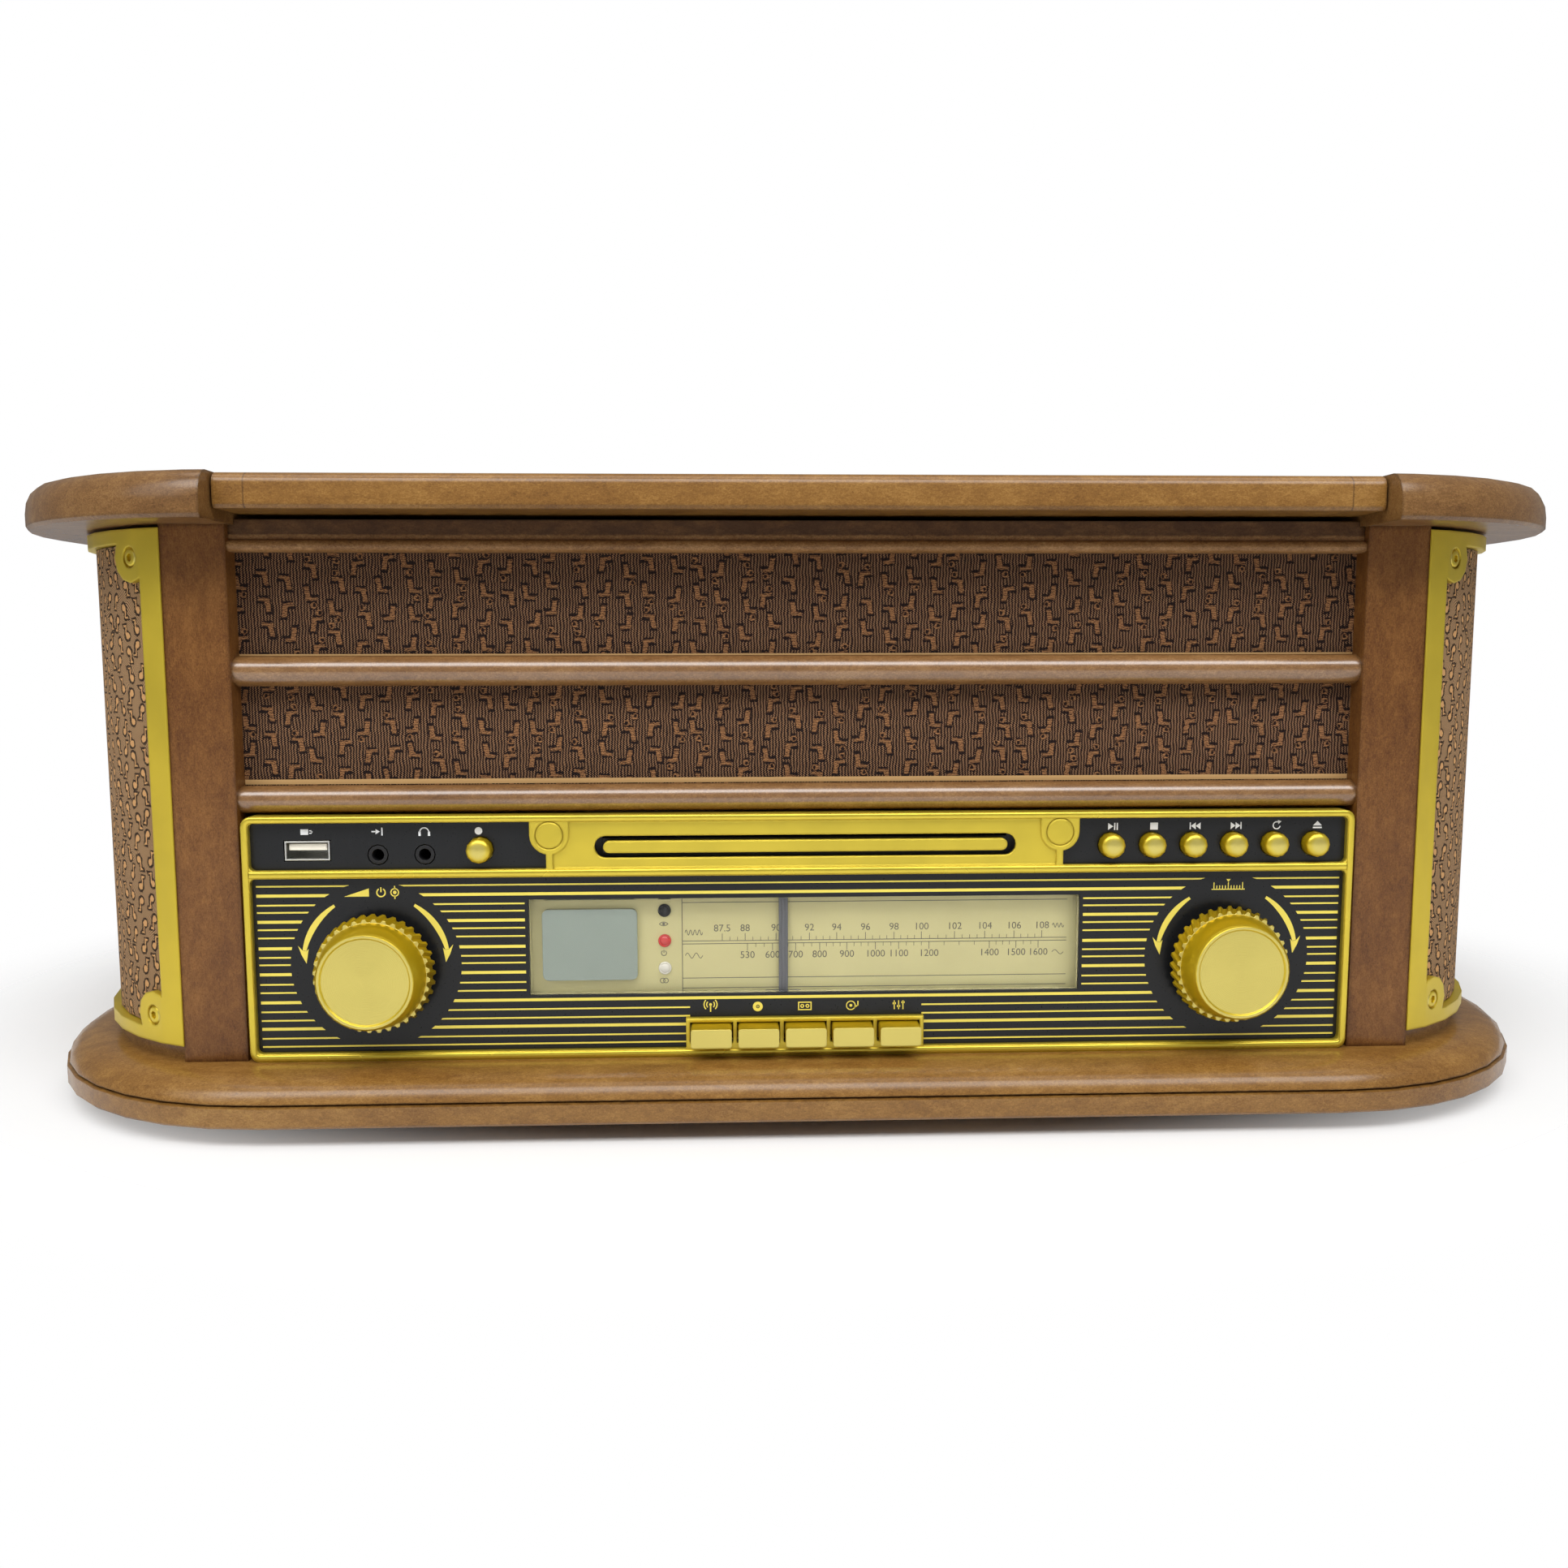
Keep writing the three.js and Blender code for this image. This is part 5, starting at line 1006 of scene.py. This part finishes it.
# Pictograms above the sockets and buttons: where each one stands along X, and its outlines
ICON_Z = 90.4
ICONS = {
    "stick": (
        STICK_X,
        bar(-1.8, 0.5, -0.85, 0.85)
        + bar(0.8, 1.8, -0.55, -0.2)
        + bar(0.8, 1.8, 0.2, 0.55)
        + bar(1.5, 1.8, -0.55, 0.55),
    ),
    "line_in": (
        -129.2,
        bar(1.2, 1.6, -1.2, 1.2) + bar(-1.7, -0.4, -0.2, 0.2) + triangle(-0.5, 1, 1.3, 1.6),
    ),
    "headphones": (
        -115.2,
        arc((0, -0.3), 1.35, 0.35, 0, 180)
        + bar(-1.75, -1.05, -1.4, -0.1)
        + bar(1.05, 1.75, -1.4, -0.1),
    ),
    "record": (-99.0, dot((0, 0), 1.15)),
    "play_pause": (
        94.4,
        triangle(-1.5, 1, 1.6) + upright(0.55, 0.2, -1.1, 1.1) + upright(1.35, 0.2, -1.1, 1.1),
    ),
    "stop": (107.2, upright(0, 1.2, -1.1, 1.1)),
    "skip_back": (120, bar(-1.7, -1.35, -1.1, 1.1) + triangle(0.2, -1) + triangle(1.7, -1)),
    "skip_forward": (132.8, bar(1.35, 1.7, -1.1, 1.1) + triangle(-1.7, 1) + triangle(-0.2, 1)),
    "repeat": (145.5, arc((0, 0), 1.1, 0.35, 60, 350) + [[(0.35, 1.6), (1.5, 1.25), (0.5, 0.35)]]),
    "eject": (158.3, [[(-1.4, -0.15), (1.4, -0.15), (0, 1.3)]] + upright(0, 1.4, -1.0, -0.55)),
}
for name, (x, outlines) in ICONS.items():
    print_flat(f"icon_{name}", moved(outlines, x, ICON_Z), FACIA_PRINT, PRINT_WHITE)

# Pictograms above the keys, in the same way
KEY_ICON_Z = 35.1
KEY_ICONS = {
    "tuner": (
        -29.492,
        upright(0, 0.2, -1.5, 0.5)
        + dot((0, 0.8), 0.45)
        + arc((0, 0.8), 1.2, 0.35, -45, 45)
        + arc((0, 0.8), 1.2, 0.35, 135, 225)
        + arc((0, 0.8), 2.0, 0.35, -45, 45)
        + arc((0, 0.8), 2.0, 0.35, 135, 225),
    ),
    "disc": (-14.948, ring((0, 0), 1.05, 0.95, 32) + ring((0, 0), 0.25, 0.15)),
    "tape": (
        -0.404,
        upright(0, 2.1, 1.0, 1.35)
        + upright(0, 2.1, -1.35, -1.0)
        + bar(-2.1, -1.75, -1.0, 1.0)
        + bar(1.75, 2.1, -1.0, 1.0)
        + ring((-0.8, 0), 0.45, 0.3)
        + ring((0.8, 0), 0.45, 0.3),
    ),
    "record_disc": (
        14.14,
        ring((-0.3, 0), 1.35, 0.3, 32)
        + dot((-0.3, 0), 0.45)
        + line((1.9, 1.4), (1.9, 0), 0.35)
        + line((1.9, 0.1), (0.7, -0.7), 0.35),
    ),
    "equaliser": (
        28.684,
        upright(-1.35, 0.15, -1.4, 1.4)
        + upright(0, 0.15, -1.4, 1.4)
        + upright(1.35, 0.15, -1.4, 1.4)
        + upright(-1.35, 0.5, 0.2, 0.8)
        + upright(0, 0.5, -0.7, -0.1)
        + upright(1.35, 0.5, 0.5, 1.1),
    ),
}
for name, (x, outlines) in KEY_ICONS.items():
    print_flat(f"key_icon_{name}", moved(outlines, x, KEY_ICON_Z), FACIA_PRINT, PRINT_GOLD)


def power_sign(radius, stroke, top):
    return arc((0, 0), radius, stroke, 120, 420) + upright(0, stroke / 2, 0.1, top)


# Above the knobs: a loudness wedge with a power sign and a lamp, and a scale with a pointer
VOLUME_ICONS_Z, TUNING_ICON_Z = 71.8, 71.6
TICK_SPACING, TICK_HALF, LONG_TICK_EVERY = 0.9, 0.14, 5
wedge = [[(-9, -1.2), (-1.5, -1.2), (-1.5, 1.3)]]
lamp = ring((0, 0), 1.15, 0.35) + dot((0, 0), 0.55)
lamp += upright(0, 0.18, -2.0, -1.1) + upright(0, 0.18, 1.1, 2.0)
volume_icons = wedge + moved(power_sign(1.25, 0.4, 1.6), 2.1, 0) + moved(lamp, 6.2, 0)
volume_icons = moved(volume_icons, KNOB_CENTRES[0], VOLUME_ICONS_Z)
print_flat("volume_icons", volume_icons, FACIA_PRINT, PRINT_GOLD)

scale = []
for tick in range(-LONG_TICK_EVERY, LONG_TICK_EVERY + 1):
    top = 1.1 if tick % LONG_TICK_EVERY == 0 else 0.1
    scale += upright(tick * TICK_SPACING, TICK_HALF, -0.9, top)
scale += upright(0, 5.2, -1.25, -0.95) + [[(-0.7, 2.1), (0.7, 2.1), (0, 1.2)]]
print_flat("tuning_icon", moved(scale, KNOB_CENTRES[1], TUNING_ICON_Z), FACIA_PRINT, PRINT_GOLD)

# The dial: ruled lines, tick marks and numbers, in uneven steps as the tuning gear makes them
DIAL_PRINT = -156.44
BAND_FM = {
    87.5: -25.8,
    88: -18.7,
    90: -9.1,
    92: 1.3,
    94: 9.8,
    96: 18.8,
    98: 27.7,
    100: 36.3,
    102: 46.7,
    104: 56.2,
    106: 65.4,
    108: 74.2,
}
BAND_AM = {
    530: -18.0,
    600: -10.2,
    700: -3.0,
    800: 4.5,
    900: 13.0,
    1000: 21.9,
    1100: 29.2,
    1200: 38.7,
    1400: 57.7,
    1500: 66.1,
    1600: 73.1,
}
SCALE_LEFT, SCALE_RIGHT, SCALE_FOOT, SCALE_TOP = -38.2, 82.0, 38, 68.6
FOOT_FM, FOOT_AM = 54.72, 53.8
RULE_HEIGHTS = (66.85, FOOT_FM, FOOT_AM, 42.99, 39.83)
RULE_HALF, LEFT_RULE_HALF = 0.11, 0.12
LONG_TICK, LONG_TICK_HALF, SHORT_TICK, SHORT_TICK_HALF = 2.3, 0.1, 1.2, 0.08
CLOSE_NUMBERS = 8
NUMBER_SIZE, NUMBERS_FM_Z, NUMBERS_AM_Z = 3.1, 58.6, 50.1


def dial_lines():
    made = upright(SCALE_LEFT, LEFT_RULE_HALF, SCALE_FOOT, SCALE_TOP)
    for z in RULE_HEIGHTS:
        made += bar(SCALE_LEFT, SCALE_RIGHT, z - RULE_HALF, z + RULE_HALF)
    for band, foot, direction in ((BAND_FM, FOOT_FM, 1), (BAND_AM, FOOT_AM, -1)):
        places = list(band.values())
        for x in places:
            made += upright(x, LONG_TICK_HALF, *sorted((foot, foot + direction * LONG_TICK)))
        for x, following in zip(places, places[1:]):
            parts = 3 if following - x < CLOSE_NUMBERS else 4
            for i in range(1, parts):
                at = x + (following - x) * i / parts
                made += upright(at, SHORT_TICK_HALF, *sorted((foot, foot + direction * SHORT_TICK)))
    return made


def number_meshes(name, numbers, z):
    """The numbers of one row as a single mesh, centred on their places."""
    curve = bpy.data.curves.new(name, "FONT")
    curve.size = NUMBER_SIZE * MM
    curve.align_x = "CENTER"
    curve.align_y = "CENTER"
    curve.resolution_u = 4
    writer = bpy.data.objects.new(name, curve)
    bpy.context.scene.collection.objects.link(writer)
    points, faces = [], []
    for number, x in numbers.items():
        curve.body = f"{number:g}"
        bpy.context.view_layer.update()
        written = writer.evaluated_get(bpy.context.evaluated_depsgraph_get())
        shape = bpy.data.meshes.new_from_object(written)
        faces += [[len(points) + i for i in face.vertices] for face in shape.polygons]
        points += [(x + v.co.x / MM, DIAL_PRINT, z + v.co.y / MM) for v in shape.vertices]
        bpy.data.meshes.remove(shape)
    bpy.data.objects.remove(writer)
    bpy.data.curves.remove(curve)
    return make_mesh(name, points, faces, PRINT_GREY, "cabinet")


def wave_line(length, height, turns, width=0.22):
    """A drawn-out wave, as short straight strokes."""
    steps = turns * 10
    at = [
        (length * (i / steps - 0.5), height * math.sin(TURN * turns * i / steps))
        for i in range(steps + 1)
    ]
    return [piece for a, b in zip(at, at[1:]) for piece in line(a, b, width)]


# Signs on the dial: an eye, power and stereo beside the lamps, and waves beside the two bands
SIGN_X, BAND_SIGN_X, BAND_END_X = -43.9, -34.6, 79.3
EYE = arc((0, -1.1), 1.7, 0.22, 35, 145) + arc((0, 1.1), 1.7, 0.22, 215, 325) + dot((0, 0), 0.42)
STEREO = ring((-0.5, 0), 0.75, 0.22) + ring((0.5, 0), 0.75, 0.22)
dial_icons = moved(EYE, SIGN_X, 60.2)
dial_icons += moved(power_sign(0.8, 0.24, 1.05), SIGN_X, 51.0)
dial_icons += moved(STEREO, SIGN_X, 42.3)
dial_icons += moved(wave_line(5.4, 0.85, 4), BAND_SIGN_X, 57.4)
dial_icons += moved(wave_line(5.4, 0.85, 2), BAND_SIGN_X, 50.1)
dial_icons += moved(wave_line(3.6, 0.7, 3), BAND_END_X, 58.6)
dial_icons += moved(wave_line(3.6, 0.7, 1), BAND_END_X, 50.1)

print_flat("dial_icons", dial_icons, DIAL_PRINT, PRINT_GREY)
print_flat("dial_lines", dial_lines(), DIAL_PRINT, PRINT_GREY)
number_meshes("dial_numbers_upper", BAND_FM, NUMBERS_FM_Z)
number_meshes("dial_numbers_lower", BAND_AM, NUMBERS_AM_Z)


def lathe(name, profile, place, outward, segments, material, recess=None):
    """A turned piece from (radius, height) pairs, with its axis along the outward direction.

    The last two rings take the outline of the recess, if there is one.
    """
    axis = Vector(outward).normalized()
    side = axis.orthogonal().normalized()
    other = axis.cross(side)
    points, faces = [], []
    for level, (radius, height) in enumerate(profile):
        shaped = recess and level >= len(profile) - 2
        for i in range(segments):
            turn = TURN * i / segments
            reach = radius * recess(turn) if shaped else radius
            spoke = side * math.cos(turn) + other * math.sin(turn)
            points.append(tuple(Vector(place) + axis * height + spoke * reach))
    for level in range(len(profile) - 1):
        for i in range(segments):
            a, b = level * segments + i, level * segments + (i + 1) % segments
            faces.append((a, b, b + segments, a + segments))
    last = (len(profile) - 1) * segments
    faces.append(tuple(range(last, last + segments)))
    faces.append(tuple(reversed(range(segments))))
    return make_mesh(name, points, faces, material, "cabinet")


def hexagon(turn):
    """The reach of a hexagon's edge against that of its corners."""
    sixth = math.pi / 3
    return math.cos(sixth / 2) / math.cos(turn % sixth - sixth / 2)


# Screws of the side trims, with a hexagonal recess. They sit in the middle of the ears,
# past the side boards
BOARD_OUTER = 189.1
TRIM_RADIUS = 73
EAR_MIDDLE = 12.8
EAR_TURN = math.asin((BOARD_OUTER - SIDE_CORNER_X) / TRIM_RADIUS) + EAR_MIDDLE / TRIM_RADIUS
SCREW_SEAT = 71.82
SCREW_SEGMENTS = 24
SCREW_PROFILE = [
    (2.75, 0),
    (2.75, 0.3),
    (2.6, 0.65),
    (2.2, 0.9),
    (1.35, 1.0),
    (1.25, 0.95),
    (1.2, 0.1),
]
for side, side_name in ((-1, "left"), (1, "right")):
    for end, end_name in ((-1, "front"), (1, "rear")):
        for z, level_name in ((33.4, "low"), (172.1, "high")):
            outward = Vector((side * math.sin(EAR_TURN), end * math.cos(EAR_TURN), 0))
            lathe(
                f"trim_screw_{end_name}_{level_name}_{side_name}",
                SCREW_PROFILE,
                Vector((side * SIDE_CORNER_X, end * SIDE_CORNER_Y, z)) + outward * SCREW_SEAT,
                outward,
                SCREW_SEGMENTS,
                BUTTON_GOLD,
                hexagon,
            )

# Indicators beside the display: a light sensor, a power lamp and a stereo lamp
LAMP_X, LAMP_SEAT = -43.6, -156.42
LAMP_SEGMENTS = 28
LAMP_PROFILE = [
    (2.0, 0),
    (2.0, 0.5),
    (1.75, 0.75),
    (1.55, 0.75),
    (1.5, 0.6),
    (1.1, 0.95),
    (0.5, 1.15),
    (0.1, 1.2),
]
for name, z, material in (
    ("light_sensor", 64.5, TEXTURED_BLACK),
    ("power_lamp", 55.0, LAMP_RED),
    ("stereo_lamp", 46.35, LAMP_CLEAR),
):
    lathe(name, LAMP_PROFILE, (LAMP_X, LAMP_SEAT, z), (0, -1, 0), LAMP_SEGMENTS, material)


# Lights and surroundings, in metres and watts
LIGHT_AIM = (0, -0.1, 0.1)
FLOOR_SIZE = 14
FADE_WIDTH, FADE_DEPTH, FLOOR_FADE = 0.25, 0.185, (0.95, 1.55)
FILL_STRENGTH, BACKDROP_STRENGTH = 0.24, 1.0


def area_light(name, place, width, height, power):
    data = bpy.data.lights.new(name, "AREA")
    data.shape = "RECTANGLE"
    data.size = width
    data.size_y = height
    data.energy = power
    light = bpy.data.objects.new(name, data)
    bpy.context.scene.collection.objects.link(light)
    light.location = place
    light.rotation_mode = "QUATERNION"
    light.rotation_quaternion = (Vector(LIGHT_AIM) - Vector(place)).to_track_quat("-Z", "Y")


def make_floor():
    """A pale floor that holds the shadow and gives way to the white backdrop further out."""
    bpy.ops.mesh.primitive_plane_add(size=FLOOR_SIZE)
    floor = bpy.context.object
    floor.name = "floor"
    look = Look("floor")
    x, y, _ = look.coordinates("Object")
    away = hypotenuse(x / FADE_WIDTH, y / FADE_DEPTH)
    cleared = away.smooth(*FLOOR_FADE) * look.path("Is Camera Ray")
    material = look.finish(
        base_color=(0.86, 0.86, 0.86, 1),
        roughness=1,
        specular_ior_level=0,
        alpha=cleared * -1 + 1,
    )
    floor.data.materials.append(material)


def make_world():
    """White to the camera and through clear pieces, and a weak fill light for everything else."""
    world = bpy.data.worlds.new("world")
    bpy.context.scene.world = world
    world.use_nodes = True
    tree = world.node_tree
    background = next(n for n in tree.nodes if n.type == "BACKGROUND")
    background.inputs["Color"].default_value = (1, 1, 1, 1)
    paths = tree.nodes.new("ShaderNodeLightPath")
    seen = Val(tree, paths.outputs["Is Camera Ray"])
    seen = seen.most(Val(tree, paths.outputs["Is Transmission Ray"]))
    strength = tree.nodes.new("ShaderNodeMapRange")
    strength.inputs["To Min"].default_value = FILL_STRENGTH
    strength.inputs["To Max"].default_value = BACKDROP_STRENGTH
    feed(tree, strength.inputs["Value"], seen)
    feed(tree, background.inputs["Strength"], strength.outputs["Result"])


make_camera()
make_floor()
make_world()
area_light("strip", (0, -0.8, 1.05), 2.0, 0.5, 19)
area_light("overhead", (0, -0.1, 1.3), 1.6, 0.5, 5)
area_light("left", (-1.1, -0.9, 0.9), 0.6, 0.6, 2)
bpy.context.scene.view_settings.view_transform = "Standard"
